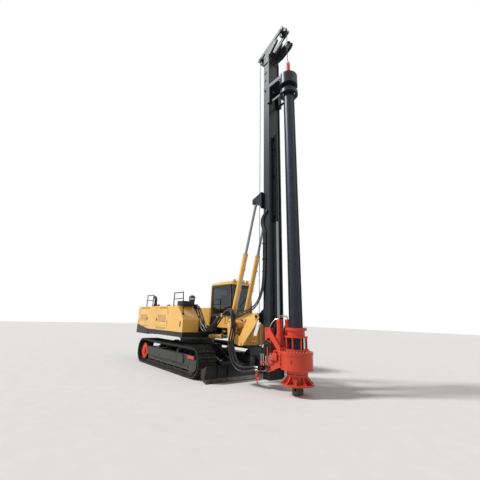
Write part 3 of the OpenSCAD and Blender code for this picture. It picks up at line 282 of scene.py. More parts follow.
camera.data.shift_y = cameraSetup["shiftY"]
camera.data.clip_start, camera.data.clip_end = cameraSetup["clip"]
scene.camera = camera
scene.view_settings.view_transform = "Standard"

floorMesh = bmesh.new()
bmesh.ops.create_grid(floorMesh, x_segments=1, y_segments=1, size=60)
floorData = bpy.data.meshes.new("floor")
floorMesh.to_mesh(floorData)
floorMesh.free()
floor = bpy.data.objects.new("floor", floorData)
scene.collection.objects.link(floor)
floorMaterial, floorTree, floorCoords = newMaterial("pale studio floor")
grit = addNode(floorTree, "ShaderNodeTexNoise",
               {"Scale": 3.0, "Detail": 4.0, "Vector": floorCoords})
floorTone = addNode(floorTree, "ShaderNodeMix", {0: grit, 6: "#E2E0DC", 7: "#ECEAE7"}, 2,
                    data_type="RGBA")
floorShine = addNode(floorTree, "ShaderNodeMapRange",
                     {"To Min": 0.85, "To Max": 0.95, "Value": grit})
floorData.materials.append(
    finishMaterial(floorMaterial, floorTone, floorShine, {"Specular IOR Level": 0.2}))

# the world lights softly, and shows white to the camera and in metal and glass
scene.world = bpy.data.worlds.new("studio")
scene.world.use_nodes = True
sky = scene.world.node_tree
sky.nodes.clear()
rays = addNode(sky, "ShaderNodeLightPath").node.outputs
seen = addNode(sky, "ShaderNodeMath", {0: rays["Is Camera Ray"], 1: rays["Is Glossy Ray"]},
               operation="MAXIMUM")
seenAny = addNode(sky, "ShaderNodeMath", {0: seen, 1: rays["Is Transmission Ray"]},
                  operation="MAXIMUM")
fill = addNode(sky, "ShaderNodeBackground", {"Color": "#F4F6FA", "Strength": 0.32})
white = addNode(sky, "ShaderNodeBackground", {"Color": "#FFFFFF", "Strength": 1.0})
addNode(sky, "ShaderNodeOutputWorld",
        {"Surface": addNode(sky, "ShaderNodeMixShader", {0: seenAny, 1: fill, 2: white})})

lampSetup = {
    "key": {"energy": 2.9, "angle": 10.0, "from": (-0.55, -0.95, 0.95)},
    "rim": {"energy": 0.22, "angle": 40.0, "from": (0.9, 0.35, 0.8)},
}
for name, setup in lampSetup.items():
    lamp = bpy.data.objects.new(name, bpy.data.lights.new(name, "SUN"))
    lamp.data.energy = setup["energy"]
    lamp.data.angle = math.radians(setup["angle"])
    lamp.rotation_mode = "QUATERNION"
    lamp.rotation_quaternion = Vector(setup["from"]).to_track_quat("Z", "Y")
    scene.collection.objects.link(lamp)
print("camera and light set")


def roundEdges(bm, edges, bevel, segments):
    bmesh.ops.bevel(bm, geom=list(edges), offset=bevel / 1000, offset_type="OFFSET",
                    affect="EDGES", segments=segments, profile=0.5, material=-1)


def addBlock(bm, low, high, bevel=0.0):
    # a box between two corners in millimetres, with rounded edges
    a, b = mm(*low), mm(*high)
    made = bmesh.ops.create_cube(bm, size=1.0)["verts"]
    bmesh.ops.scale(bm, vec=b - a, verts=made)
    bmesh.ops.translate(bm, vec=(a + b) / 2, verts=made)
    if bevel:
        roundEdges(bm, {e for v in made for e in v.link_edges}, bevel, 2)


def addBar(bm, start, end, radius, sides=24, bevel=0.0, endRadius=None):
    # a round bar, or a cone, between two points in millimetres
    a, b = mm(*start), mm(*end)
    axis = b - a
    place = Matrix.Translation((a + b) / 2) @ axis.to_track_quat("Z", "Y").to_matrix().to_4x4()
    made = bmesh.ops.create_cone(
        bm, cap_ends=True, segments=sides, radius1=radius / 1000,
        radius2=(radius if endRadius is None else endRadius) / 1000, depth=axis.length,
        matrix=place)["verts"]
    if bevel:
        caps = [f for f in {f for v in made for f in v.link_faces} if len(f.verts) == sides]
        roundEdges(bm, {e for f in caps for e in f.edges}, bevel, 2)


def addPlate(bm, outline, low, high, bevel=0.0):
    # a plate with an outline in X and Z, between two values of Y
    corners = [bm.verts.new(mm(x, low, z)) for x, z in outline]
    raised = bmesh.ops.extrude_face_region(bm, geom=[bm.faces.new(corners)])["geom"]
    top = [v for v in raised if isinstance(v, bmesh.types.BMVert)]
    bmesh.ops.translate(bm, vec=(0, (high - low) / 1000, 0), verts=top)
    if bevel:
        roundEdges(bm, {e for v in corners + top for e in v.link_edges}, bevel, 1)


def addBolt(bm, place, axis, across, height):
    # a hexagon head on its washer, sitting on a face whose normal is the axis
    at, out = mm(*place), Vector(axis).normalized()
    turned = out.to_track_quat("Z", "Y").to_matrix().to_4x4()
    for sides, wide, narrow, depth, rise in ((12, 0.72, 0.72, 4, 1.5),
                                             (6, 0.577, 0.5, height, height / 2 + 2)):
        bmesh.ops.create_cone(bm, cap_ends=True, segments=sides, radius1=across * wide / 1000,
                              radius2=across * narrow / 1000, depth=depth / 1000,
                              matrix=Matrix.Translation(at + out * rise / 1000) @ turned)


def addBand(bm, low, high, inner, outer, sides=32):
    # a thin ring round a cylinder between two points in millimetres
    low, high = mm(*low), mm(*high)
    axis = high - low
    out = axis.to_track_quat("Z", "Y") @ Vector((1, 0, 0))
    profile = [bm.verts.new(place + out * radius / 1000) for place, radius in
               ((low, inner), (low, outer), (high, outer), (high, inner))]
    edges = [bm.edges.new((profile[k], profile[(k + 1) % 4])) for k in range(4)]
    bmesh.ops.spin(bm, geom=profile + edges, cent=low, axis=axis, angle=math.tau, steps=sides,
                   use_merge=True)


def ringOf(centre, radius, count, start=0.0):
    # points around a centre, in the plane of its two coordinates
    return [(centre[0] + radius * math.cos(start + i * math.tau / count),
             centre[1] + radius * math.sin(start + i * math.tau / count)) for i in range(count)]


sharpAngle = math.radians(35)


def finishPiece(name, bm, body, finish):
    bmesh.ops.recalc_face_normals(bm, faces=bm.faces)
    for face in bm.faces:
        face.smooth = True
    for edge in bm.edges:
        edge.smooth = not (edge.is_manifold and edge.calc_face_angle(0) > sharpAngle)
    mesh = bpy.data.meshes.new(name)
    bm.to_mesh(mesh)
    bm.free()
    piece = bpy.data.objects.new(name, mesh)
    scene.collection.objects.link(piece)
    mesh.materials.append(materials[finish])
    if body:
        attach(piece, body)
    return piece


def smoothPath(points, step):
    # a rounded path through the points, about one point every step metres
    pts = [mm(*p) for p in points]
    ends = [pts[0] * 2 - pts[1]] + pts + [pts[-1] * 2 - pts[-2]]
    path = []
    for i in range(1, len(ends) - 2):
        p0, p1, p2, p3 = ends[i - 1:i + 3]
        count = max(2, int((p2 - p1).length / step))
        for k in range(count):
            t = k / count
            path.append(0.5 * ((2 * p1) + (p2 - p0) * t + (2 * p0 - 5 * p1 + 4 * p2 - p3) * t * t
                               + (3 * p1 - p0 - 3 * p2 + p3) * t ** 3))
    path.append(pts[-1])
    return path


def addRun(bm, path, radius, sides=10, lobes=0, twist=0.0):
    # a hose, or a laid rope with lobes that turn once every twist metres, along a path
    curve = bpy.data.curves.new("run", "CURVE")
    curve.dimensions = "3D"
    spline = curve.splines.new("POLY")
    spline.points.add(len(path) - 1)
    length = 0.0
    for i, p in enumerate(path):
        spline.points[i].co = (*p, 1)
        length += (p - path[i - 1]).length if i else 0
        spline.points[i].tilt = length / twist * math.tau if twist else 0
    section = bpy.data.curves.new("section", "CURVE")
    ring = section.splines.new("POLY")
    count = lobes * 4 if lobes else sides
    ring.points.add(count - 1)
    for i in range(count):
        angle = i * math.tau / count
        r = radius / 1000 * (0.84 if lobes and i % 4 == 0 else 1)
        ring.points[i].co = (r * math.cos(angle), r * math.sin(angle), 0, 1)
    ring.use_cyclic_u = True
    sectionObject = bpy.data.objects.new("section", section)
    curve.bevel_mode = "OBJECT"
    curve.bevel_object = sectionObject
    curve.use_fill_caps = True
    holder = bpy.data.objects.new("run", curve)
    scene.collection.objects.link(sectionObject)
    scene.collection.objects.link(holder)
    bpy.context.view_layer.update()
    made = bpy.data.meshes.new_from_object(
        holder.evaluated_get(bpy.context.evaluated_depsgraph_get()))
    bm.from_mesh(made)
    for item in (holder, sectionObject):
        bpy.data.objects.remove(item)
    for item in (curve, section):
        bpy.data.curves.remove(item)
    bpy.data.meshes.remove(made)


def addTube(bm, points, radius, sides=10, step=0.04):
    addRun(bm, smoothPath(points, step), radius, sides)


def addBundle(bm, points, starts, ends, radius, spread=0.0):
    # several hoses: each has a shift in X, Y and Z at its start and another at its end, and
    # hangs further from the others in the middle by the spread
    last = len(points) - 1
    for start, end in zip(starts, ends):
        hose = []
        for i, point in enumerate(points):
            t = i / last
            wide = 1 + spread * math.sin(math.pi * t)
            dx, dy, dz = (a + (b - a) * t for a, b in zip(start, end))
            hose.append((point[0] + dx, point[1] + dy * wide, point[2] + dz * wide))
        addTube(bm, hose, radius, 8, 0.05)


def addFrame(bm, outline, width, low, high):
    # a flat frame of mitred strips around an opening outlined in X and Z
    count = len(outline)
    cx, cz = (sum(p[k] for p in outline) / count for k in (0, 1))
    outer = [(x + (width if x > cx else -width), z + (width if z > cz else -width))
             for x, z in outline]
    for i in range(count):
        k = (i + 1) % count
        addPlate(bm, [outline[i], outline[k], outer[k], outer[i]], low, high)


def makePiece(name, body, finish, slotName=None, **parts):
    # a piece from lists; an entry holds what the add function of its list takes after the mesh
    adders = {"blocks": addBlock, "bars": addBar, "plates": addPlate, "bolts": addBolt,
              "bands": addBand, "tubes": addTube, "runs": addRun, "bundles": addBundle,
              "frames": addFrame}
    bm = bmesh.new()
    for kind, entries in parts.items():
        for entry in entries:
            adders[kind](bm, *entry)
    return finishPiece(name, bm, body, finish)


print("tools ready")

track = {
    "centreZ": 415.0, "rearX": -1965.0, "wheelbase": 3850.0, "plateRadius": 391.0,
    "shoeCount": 60, "middleY": 950.0, "linkInner": 296.0, "linkOuter": 362.0, "linkY": 100.5,
    "boltsX": (-16, 16), "boltsY": (-78, -46, 46, 78), "boltRadius": 12.1, "boltHeight": 13,
    "boltShift": 0.45,
}


def onTrack(share, radius):
    # a point and direction on the loop, from a share of its length, in X and Z
    low, base, straight = track["centreZ"], track["rearX"], track["wheelbase"]
    arc = math.pi * track["plateRadius"]
    s = share * 2 * (straight + arc)
    if s < straight:
        return base + s, low - radius, 0.0
    if s < straight + arc:
        angle = (s - straight) / track["plateRadius"]
        return base + straight + radius * math.sin(angle), low - radius * math.cos(angle), angle
    if s < 2 * straight + arc:
        return base + 2 * straight + arc - s, low + radius, math.pi
    angle = math.pi + (s - 2 * straight - arc) / track["plateRadius"]
    return base + radius * math.sin(angle), low - radius * math.cos(angle), angle


def trackPlaces(y, radius, shift=0.0):
    places = []
    for i in range(track["shoeCount"]):
        x, z, angle = onTrack(((i + shift) / track["shoeCount"]) % 1.0, radius)
        places.append(Matrix.Translation(mm(x, y, z)) @ Matrix.Rotation(-angle, 4, "Y")
                      @ Matrix.Translation(-mm(0, 0, 0)))
    return places


def copyInto(bm, pattern, places):
    # the same small mesh at many places
    for place in places:
        start = len(bm.verts)
        bm.from_mesh(pattern)
        bm.verts.ensure_lookup_table()
        bmesh.ops.transform(bm, matrix=place, verts=bm.verts[start:])


def asPattern(bm):
    mesh = bpy.data.meshes.new("pattern")
    bm.to_mesh(mesh)
    bm.free()
    return mesh


trackLink = bmesh.new()
half = (track["linkOuter"] - track["linkInner"]) / 2
addPlate(trackLink, [(-78, -half), (-30, -half * 0.72), (30, -half * 0.72), (78, -half),
                     (88, -half * 0.5), (88, half * 0.5), (78, half), (-78, half),
                     (-88, half * 0.5), (-88, -half * 0.5)], 0, 12, 2)
addBar(trackLink, (-62, 11, 0), (-62, 20, 0), 21, 10)
addBar(trackLink, (62, 11, 0), (62, 17, 0), 15, 10)
outerLink = asPattern(trackLink)
mirrored = bmesh.new()
mirrored.from_mesh(outerLink)
bmesh.ops.scale(mirrored, vec=(1, -1, 1), verts=mirrored.verts)
innerLink = asPattern(mirrored)
shoeBolts = bmesh.new()
for x in track["boltsX"]:
    for y in track["boltsY"]:
        addBar(shoeBolts, (x, y, -track["boltHeight"]), (x, y, 0), track["boltRadius"], 6)
boltPattern = asPattern(shoeBolts)
for side, label in ((-1, "right"), (1, "left")):
    middle = side * track["middleY"]
    linkRadius = (track["linkInner"] + track["linkOuter"]) / 2
    chain = bmesh.new()
    copyInto(chain, outerLink, trackPlaces(middle + track["linkY"], linkRadius))
    copyInto(chain, innerLink, trackPlaces(middle - track["linkY"], linkRadius))
    finishPiece(f"track_links_{label}", chain, "undercarriage", "trackSteel")
    heads = bmesh.new()
    copyInto(heads, boltPattern, trackPlaces(middle, track["plateRadius"], track["boltShift"]))
    finishPiece(f"shoe_bolts_{label}", heads, "undercarriage", "machinedSteel")
print("track links and bolts made")

frameTrim = {
    "coverX": (-1290, -900, -480, -60, 360, 780, 1190), "cover": ((1177, 390), (1170, 500)),
    "rollerX": (-1480, -1000, -500, 0, 500, 1000, 1480), "rollerY": 1100, "rollerZ": 236,
    "panel": [(-1335, 334), (1238, 334), (1238, 446), (-1335, 446)], "panelY": (1169, 1177),
    "ledge": ((-1335, 324), (1238, 336)), "ledgeY": (1150, 1182),
    "guard": [(1600, 150), (1880, 150), (1995, 250), (2010, 488), (1611, 488), (1600, 327)],
    "guardY": (1099, 1147), "guardBolts": ((1640, 355), (1840, 355), (1640, 462), (1840, 462)),
    "cap": (track["rearX"], track["centreZ"] - 30), "capY": 1126, "capRadius": 225, "hubY": 1170,
    "hubRadius": 88, "pinY": (1169, 1182), "tensionerX": (1525, 1855),
}
for side, label in ((-1, "right"), (1, "left")):
    out = (0, side, 0)
    ySpan = {k: sorted(side * v for v in frameTrim[k]) for k in ("panelY", "ledgeY", "guardY")}
    makePiece(f"frame_bolts_{label}", "undercarriage", "machinedSteel", bolts=[
        ((x, side * y, z), out, 20, 12) for x in frameTrim["coverX"] for y, z in frameTrim["cover"]
    ] + [((x, side * frameTrim["rollerY"], frameTrim["rollerZ"]), out, 26, 14)
         for x in frameTrim["rollerX"]])
    (x0, z0), (x1, z1) = frameTrim["ledge"]
    makePiece(f"track_cover_panel_{label}", "undercarriage", "greyEnamel",
              plates=[(frameTrim["panel"], *ySpan["panelY"], 3)],
              blocks=[((x0, ySpan["ledgeY"][0], z0), (x1, ySpan["ledgeY"][1], z1), 3)])
    makePiece(f"idler_guard_{label}", "undercarriage", "greyEnamel",
              plates=[(frameTrim["guard"], *ySpan["guardY"], 5)],
              bolts=[((x, side * 1147, z), out, 18, 10) for x, z in frameTrim["guardBolts"]])
    capX, capZ = frameTrim["cap"]
    pinY = frameTrim["pinY"]
    makePiece(f"cap_bolts_{label}", "undercarriage", "redEnamel", bolts=[
        ((x, side * frameTrim["capY"], z), out, 22, 13)
        for x, z in ringOf(frameTrim["cap"], frameTrim["capRadius"], 16)
    ] + [((x, side * frameTrim["hubY"], z), out, 20, 11)
         for x, z in ringOf(frameTrim["cap"], frameTrim["hubRadius"], 8, 0.3)
    ] + [((x, side * 1172, 530), out, 22, 13) for x in frameTrim["tensionerX"]],
        bars=[((capX, side * pinY[0], capZ), (capX, side * pinY[1], capZ), 30, 24, 3)])

ringTrim = {"boltRadius": 600, "bolts": 36, "underZ": 929, "toothRadius": 548, "teeth": 72,
            "toothZ": (936, 984), "toothWidth": 16}
makePiece("slew_ring_bolts", "undercarriage", "machinedSteel",
          bolts=[((x, y, ringTrim["underZ"]), (0, 0, -1), 26, 16)
                 for x, y in ringOf((0, 0), ringTrim["boltRadius"], ringTrim["bolts"])])
makePiece("slew_ring_teeth", "undercarriage", "machinedSteel",
          bars=[((x, y, ringTrim["toothZ"][0]), (x, y, ringTrim["toothZ"][1]),
                 ringTrim["toothWidth"], 6)
                for x, y in ringOf((0, 0), ringTrim["toothRadius"], ringTrim["teeth"])])
# each point: X, the Y of the first hose, the step to the next hose, and Z
motorHoses = {"radius": 16, "count": 3, "path": (
    (-700, 430, -38, 815), (-900, 430, -38, 812), (-1080, 500, 12, 700), (-1250, 610, 14, 560),
    (-1500, 700, 10, 470), (-1760, 742, 6, 440))}
makePiece("track_motor_hoses", "undercarriage", "hoseRubber", tubes=[
    ([(x, side * (y + k * step), z) for x, y, step, z in motorHoses["path"]], motorHoses["radius"])
    for side in (-1, 1) for k in range(motorHoses["count"])])

bladeTrim = {
    "edge": [(2719, 11), (2676, 56), (2651, 94), (2664, 100), (2690, 66), (2734, 15)],
    "half": 1246, "boltsY": range(-1120, 1121, 280), "boltAxis": (0.72, 0, 0.69),
    "bolt": (2693, 60),
}
makePiece("blade_cutting_edge", "blade", "machinedSteel",
          plates=[(bladeTrim["edge"], -bladeTrim["half"], bladeTrim["half"], 2)])
makePiece("blade_edge_bolts", "blade", "machinedSteel",
          bolts=[((bladeTrim["bolt"][0], y, bladeTrim["bolt"][1]), bladeTrim["boltAxis"], 30, 8)
                 for y in bladeTrim["boltsY"]])
print("undercarriage trimmed")

hoodTrim = {
    "seamsX": (-1675, -1085, -35), "latches": {"front": (-945, 1520), "rear": (-1855, 1530)},
    # the black strips under the louvres are painted shade: each stands for the shade inside a
    # louvre's opening
    "latchHalf": (38, 42), "louvreShade": [((-930, -150), (1245, 1279)), ((-2330, -1780), (1280,)),
                                     ((-2560, -1740), (1916, 1950)), ((-740, -110), (1916, 1950))],
    "doorLouvreShade": {"front": (-870, -190), "rear": (-2620, -1920)},
    "doorRows": range(1475, 1680, 34), "louvreShadeDrop": 14,
    "handle": [((935, -1229, 1335), (975, -1219, 1505), 4),
               ((948, -1240, 1350), (962, -1228, 1490), 4)],
}


# a row of black strips, one below each louvre, painted as the shade under it
def louvreShadeRows(ends, rows):
    return [((ends[0] + 6, -1221.5, z - hoodTrim["louvreShadeDrop"]), (ends[1] - 6, -1219, z + 3))
            for z in rows]


makePiece("hood_seams", "upper", "sealRubber",
          blocks=[((x - 3, -1219, 1981), (x + 3, -645, 1986.5)) for x in hoodTrim["seamsX"]])
for label, (x, z) in hoodTrim["latches"].items():
    w, h = hoodTrim["latchHalf"]
    makePiece(f"hood_latch_{label}", f"hood_door_{label}", "sealRubber", blocks=[
        ((x - w, -1225, z - h), (x + w, -1219, z + h), 2),
        ((x - w + 12, -1231, z - 26), (x + w - 12, -1224, z + 6), 3),
    ], bars=[((x, -1230, z + 24), (x, -1224, z + 24), 11, 24, 1)])
makePiece("hood_front_handle", "upper", "sealRubber", blocks=hoodTrim["handle"])
# black strips painted below each louvre as the shade under it
makePiece("hood_louvre_shade", "upper", "sealRubber",
          blocks=[shadeStrip for ends, rows in hoodTrim["louvreShade"] for shadeStrip in louvreShadeRows(ends, rows)])
for label, ends in hoodTrim["doorLouvreShade"].items():
    makePiece(f"door_louvre_shade_{label}", f"hood_door_{label}", "sealRubber",
              blocks=louvreShadeRows(ends, hoodTrim["doorRows"]))
toolBox = {"x": (430, 835), "y": (-1125, -690), "z": (1984, 2140), "round": 14,
           "catchY": (-1030, -780), "catchZ": (2010, 2040), "hingeZ": 2080}
(x0, x1), (y0, y1), (z0, z1), (low, high) = (toolBox[k] for k in ("x", "y", "z", "catchZ"))
makePiece("hood_tool_box", "upper", "blackEnamel",
          blocks=[((x0, y0, z0), (x1, y1, z1), toolBox["round"])]
          + [((x1 - 6, y - 26, low), (x1 + 12, y + 26, high), 3) for y in toolBox["catchY"]],
          bars=[((x0, y - 30, toolBox["hingeZ"]), (x0, y + 30, toolBox["hingeZ"]), 11, 12)
                for y in toolBox["catchY"]])

exhaust = {"at": (-2020, -880), "foot": 1986, "bendZ": 2290, "radius": 55, "flangeRadius": 105}
x, y = exhaust["at"]
foot, bend = exhaust["foot"], exhaust["bendZ"]
makePiece("exhaust_pipe", "upper", "trackSteel", "bare_steel", bars=[
    ((x, y, foot), (x, y, foot + 14), exhaust["flangeRadius"], 24, 3),
    ((x, y, foot + 12), (x, y, foot + 130), 78, 24, 3, 62),
], tubes=[([(x, y, foot + 100), (x, y, bend - 60), (x - 22, y, bend + 10),
            (x - 110, y, bend + 70), (x - 170, y, bend + 78)], exhaust["radius"], 20, 0.02)],
    bolts=[((bx, by, foot + 13), (0, 0, 1), 18, 10) for bx, by in ringOf(exhaust["at"], 90, 6)])

fillers = ((-1650, -900, 62, 90), (-770, -880, 70, 70), (-560, -760, 40, 60))
makePiece("filler_caps", "upper", "yellowEnamel", bars=[
    ((x, y, 1984 + h * low), (x, y, 1984 + h * high), r * share, sides, bevel)
    for x, y, r, h in fillers
    for low, high, share, sides, bevel in ((0, 0.55, 0.8, 24, 2), (0.5, 1, 1, 12, 6))])

walkway = {"x": (-1500, -140), "y": (-1130, -700), "z": (1984, 1991), "pitch": 46}
(x0, x1), (y0, y1), (z0, z1), between = walkway.values()
studs = []
for i in range(1, int((x1 - x0) / between)):
    for k in range(1, int((y1 - y0) / between)):
        x, y = x0 + i * between, y0 + k * between
        slant = -11 if (i + k) % 2 else 11
        studs.append(((x - 11, y + slant, z1 + 0.5), (x + 11, y - slant, z1 + 0.5), 4, 4))
makePiece("walkway_tread", "upper", "blackEnamel", blocks=[((x0, y0, z0), (x1, y1, z1), 2)],
          bars=studs)

# engine air filter, its rain cap and the lid of the box it stands on
cleaner = {
    "at": (300, -498), "slatRadius": 100, "slats": 20, "slatZ": (2196, 2290),
    # low and high end, radius at each, and the rounding of the edge
    "drums": ((2045, 2200, 92, 92, 4), (2190, 2228, 118, 96, 4), (2282, 2330, 122, 104, 5),
              (2328, 2372, 104, 46, 4)),
    "lid": ((68, -627, 2035), (532, -368, 2062)), "ribZ": (1480, 1620, 1760, 1900),
    "boltY": (-590, -405), "boltZ": (1420, 1985),
}
makePiece("air_cleaner", "upper", "sealRubber", bars=[
    ((*cleaner["at"], low), (*cleaner["at"], high), radius, 24, bevel, endRadius)
    for low, high, radius, endRadius, bevel in cleaner["drums"]
] + [((x, y, cleaner["slatZ"][0]), (x, y, cleaner["slatZ"][1]), 7, 6)
     for x, y in ringOf(cleaner["at"], cleaner["slatRadius"], cleaner["slats"])])
makePiece("filter_box_trim", "upper", "blackEnamel",
          blocks=[(*cleaner["lid"], 8)]
          + [((519, -600, z), (527, -400, z + 22), 2) for z in cleaner["ribZ"]],
          bolts=[((519.5, y, z), (1, 0, 0), 18, 9)
                 for z in cleaner["boltZ"] for y in cleaner["boltY"]])

# counterweight: lifting bushes with the ribs of the tail, and tail lamps
tail = {"bush": (-2300, 1000), "bushZ": (1300, 1318), "bushRadius": 46, "ribY": 700,
        "ribHalf": 90, "ribZ": (1130, 1172, 1214), "lampY": 820, "lampZ": 1550, "lampRadius": 45}
x, y = tail["bush"]
makePiece("weight_bushes", "upper", "blackEnamel", bars=[
    ((x, side * y, tail["bushZ"][0]), (x, side * y, tail["bushZ"][1]), tail["bushRadius"], 24, 3)
    for side in (-1, 1)
], blocks=[((-3120, middle - tail["ribHalf"], z), (-3110, middle + tail["ribHalf"], z + 22), 4)
           for middle in (-tail["ribY"], tail["ribY"]) for z in tail["ribZ"]])
makePiece("tail_lamps", "upper", "redLens", bars=[
    ((-3119.5, y, tail["lampZ"]), (-3100, y, tail["lampZ"]), tail["lampRadius"], 24, 2)
    for y in (-tail["lampY"], tail["lampY"])])
print("hood and counterweight trimmed")

# left hood: a frame around each group of pressed louvres, and the seams of its panels
leftTrim = {"grilles": ((-2600, -1750), (-1600, -750)), "z": (1385, 1850), "width": 20,
            "y": (1219, 1232), "seamsX": (-2680, -1675, -660, -60)}
(z0, z1), (y0, y1), width = leftTrim["z"], leftTrim["y"], leftTrim["width"]
makePiece("left_grille_frame", "upper", "yellowEnamel", blocks=[
    (low, high, 3) for x0, x1 in leftTrim["grilles"] for low, high in (
        ((x0 - width, y0, z0 - width), (x0, y1, z1 + width)),
        ((x1, y0, z0 - width), (x1 + width, y1, z1 + width)),
        ((x0, y0, z0 - width), (x1, y1, z0)), ((x0, y0, z1), (x1, y1, z1 + width)))])
makePiece("left_hood_seams", "upper", "sealRubber", blocks=[
    block for x in leftTrim["seamsX"] for block in (
        ((x - 3, 1217, 1190), (x + 3, 1221.5, 1975)), ((x - 3, 405, 1981), (x + 3, 1219, 1986.5)))])

# middle lane: hydraulic valve block with its hoses, behind the boom
lane = {
    "block": ((760, -300, 1182), (1000, 60, 1300)), "portsY": range(-270, 31, 50), "hoses": 5,
    "hoseRadius": 13,
    # X, top, radius, sides and bevel of the fittings and of the spool caps
    "ports": ((800, 1336, 15, 6), (930, 1330, 18, 24, 2)),
    # X, the share of the port's Y that a hose keeps there, a shift in Y, and Z
    "path": ((800, 1, 0, 1320), (794, 1, 0, 1352), (730, 1, 2, 1374), (640, 0.95, 0, 1374),
             (300, 0.85, 0, 1368), (-200, 0.8, 0, 1366), (-700, 0.7, 0, 1364),
             (-900, 0.7, 0, 1340)),
}
makePiece("main_valve", "upper", "machinedSteel", blocks=[(*lane["block"], 6)],
          bars=[((x, y, 1298), (x, y, top), *size) for x, top, *size in lane["ports"]
                for y in lane["portsY"]])
makePiece("lane_hoses", "upper", "hoseRubber", tubes=[
    ([(x, y * share + shift, z) for x, share, shift, z in lane["path"]], lane["hoseRadius"])
    for y in lane["portsY"][:lane["hoses"]]])
swingMotor = {"at": (-460, 200), "flangeZ": 1420, "flangeRadius": 150, "boltRadius": 130,
              "headZ": 1600, "radius": 105, "headRadius": 96}
x, y = swingMotor["at"]
flange, head = swingMotor["flangeZ"], swingMotor["headZ"]
makePiece("swing_motor", "upper", "greyEnamel", bars=[
    ((x, y, 1349), (x, y, flange), swingMotor["flangeRadius"], 24, 6),
    ((x, y, flange - 2), (x, y, head), swingMotor["radius"], 24, 8, swingMotor["headRadius"]),
], blocks=[((x - 90, y - 60, head), (x + 90, y + 60, head + 90), 10)],
    bolts=[((bx, by, flange), (0, 0, 1), 20, 12)
           for bx, by in ringOf(swingMotor["at"], swingMotor["boltRadius"], 10)])
print("middle lane dressed")

# each step's two ends in X, its two faces in Y and its underside
deckTrim = {"steps": ((250, 620, 1212, 1236, 1010), (250, 620, 1212, 1236, 1100),
                      (-1150, -850, -1236, -1212, 1020)),
            "stepHeight": 22, "boltsX": range(-1600, 1001, 260), "boltY": 1210, "boltZ": 1100}
makePiece("side_steps", "upper", "blackEnamel", blocks=[
    ((x0, y0, z), (x1, y1, z + deckTrim["stepHeight"]), 4)
    for x0, x1, y0, y1, z in deckTrim["steps"]])
makePiece("deck_bolts", "upper", "machinedSteel", bolts=[
    ((x, side * deckTrim["boltY"], deckTrim["boltZ"]), (0, side, 0), 22, 9)
    for side in (-1, 1) for x in deckTrim["boltsX"]])

# hoses between the body, the boom, the mast and the drive: the paths, and the shift of
# each hose from its path
hoses = {
    "radius": 23, "thin": 14,
    "five": ((0, 0, 0), (0, -50, 6), (0, -100, 0), (0, -24, 48), (0, -76, 50)),
    "four": ((0, 0, 20), (0, -30, -12), (0, 4, -74), (0, -26, -106)),
    "onMast": ((0, 0, 0), (33, 0, 0), (66, 0, 0), (99, 0, 0)),
    "loopEnds": ((0, 10, 0), (0, -42, 0), (0, -94, 0), (-70, -16, 60), (-70, -68, 60)),
    "toBoom": [(600, -632, 1880), (690, -560, 1925), (840, -470, 1900), (1060, -440, 1600),
               (1280, -436, 1310), (1490, -436, 1212), (1720, -432, 1290), (1950, -420, 1490),
               (2110, -404, 1645), (2215, -398, 1695)],
    "overCarrier": [(2215, -398, 1695), (2300, -398, 1740), (2400, -400, 1800),
                    (2520, -402, 1845), (2640, -404, 1835), (2720, -406, 1740)],
    "loop": [(2720, -406, 1740), (2790, -408, 1450), (2780, -412, 1250), (2735, -414, 1000),
             (2790, -416, 800), (2890, -416, 590), (3015, -408, 430), (3220, -398, 345),
             (3430, -388, 348), (3600, -360, 392), (3720, -332, 422)],
    "toMast": [(2400, -400, 1792), (2520, -402, 1810), (2700, -410, 1765), (2900, -412, 1755),
               (3150, -412, 1815), (3420, -410, 1885), (3580, -394, 1960), (3670, -350, 2080),
               (3725, -296, 2260), (3770, -258, 2500), (3798, -246, 2850), (3808, -246, 3200)],
    "upMast": [(3808, -246, 3200), (3808, -246, 3900), (3796, -246, 4080), (3748, -250, 4210),
               (3718, -252, 4350), (3738, -252, 4480), (3805, -248, 4580), (3890, -246, 4640)],
    "toDriveX": (3985, 4035, 4108),
}
five, four, onMast, loopEnds = (hoses[k] for k in ("five", "four", "onMast", "loopEnds"))
thick, thin = hoses["radius"], hoses["thin"]
bodyHoses = makePiece("hoses_body_to_boom", None, "hoseRubber",
                      bundles=[(hoses["toBoom"], five, five, thick, 0.9)])
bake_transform(bodyHoses)
carrierHoses = makePiece("hoses_boom_to_carrier", None, "hoseRubber",
                         bundles=[(hoses["overCarrier"], five, five, thick)])
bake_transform(carrierHoses)
loopHoses = makePiece("hoses_carrier_to_foot", None, "hoseRubber",
                      bundles=[(hoses["loop"], five, loopEnds, thick, 0.8)])
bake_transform(loopHoses)
mastHoses = makePiece("hoses_carrier_to_mast", None, "hoseRubber",
                      bundles=[(hoses["toMast"], four, onMast, thin)])
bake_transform(mastHoses)
makePiece("hoses_up_mast", "mast", "hoseRubber", bundles=[(hoses["upMast"], onMast, onMast, thin)])

# the fittings and clamps that hold the hoses' ends
clamps = {
    "bulkheadY": (-640, -612),
    "boomBracket": [((2200, -372, 1470), (2256, -149, 1486), 2),
                    ((2200, -372, 1470), (2256, -362, 1668), 2),
                    ((2200, -524, 1656), (2256, -362, 1670), 2)],
    "boomClamp": ((2205, -524, 1670), (2251, -372, 1772), 8), "boomBolts": (-386, -510),
    "boomFittingsX": (2150, 2262), "onCarrier": ((2728, 1700), (2790, 1420)),
    "footBracket": [((3850, -450, 385), (3862, -224, 525), 2),
                    ((3815, -236, 385), (3862, -224, 525), 2)],
    "upperClamp": ((3870, -279, 4606), (4010, -224, 4700), 5), "mastZ": (2900, 3250, 3700),
    # both ends in X, then radius, sides and bevel
    "footNuts": ((3788, 3851, 24, 6), (3861, 3884, 22, 6)), "footSleeve": (3706, 3790, 26, 16, 3),
}
(x, _, z), (low, high) = hoses["toBoom"][0], clamps["bulkheadY"]
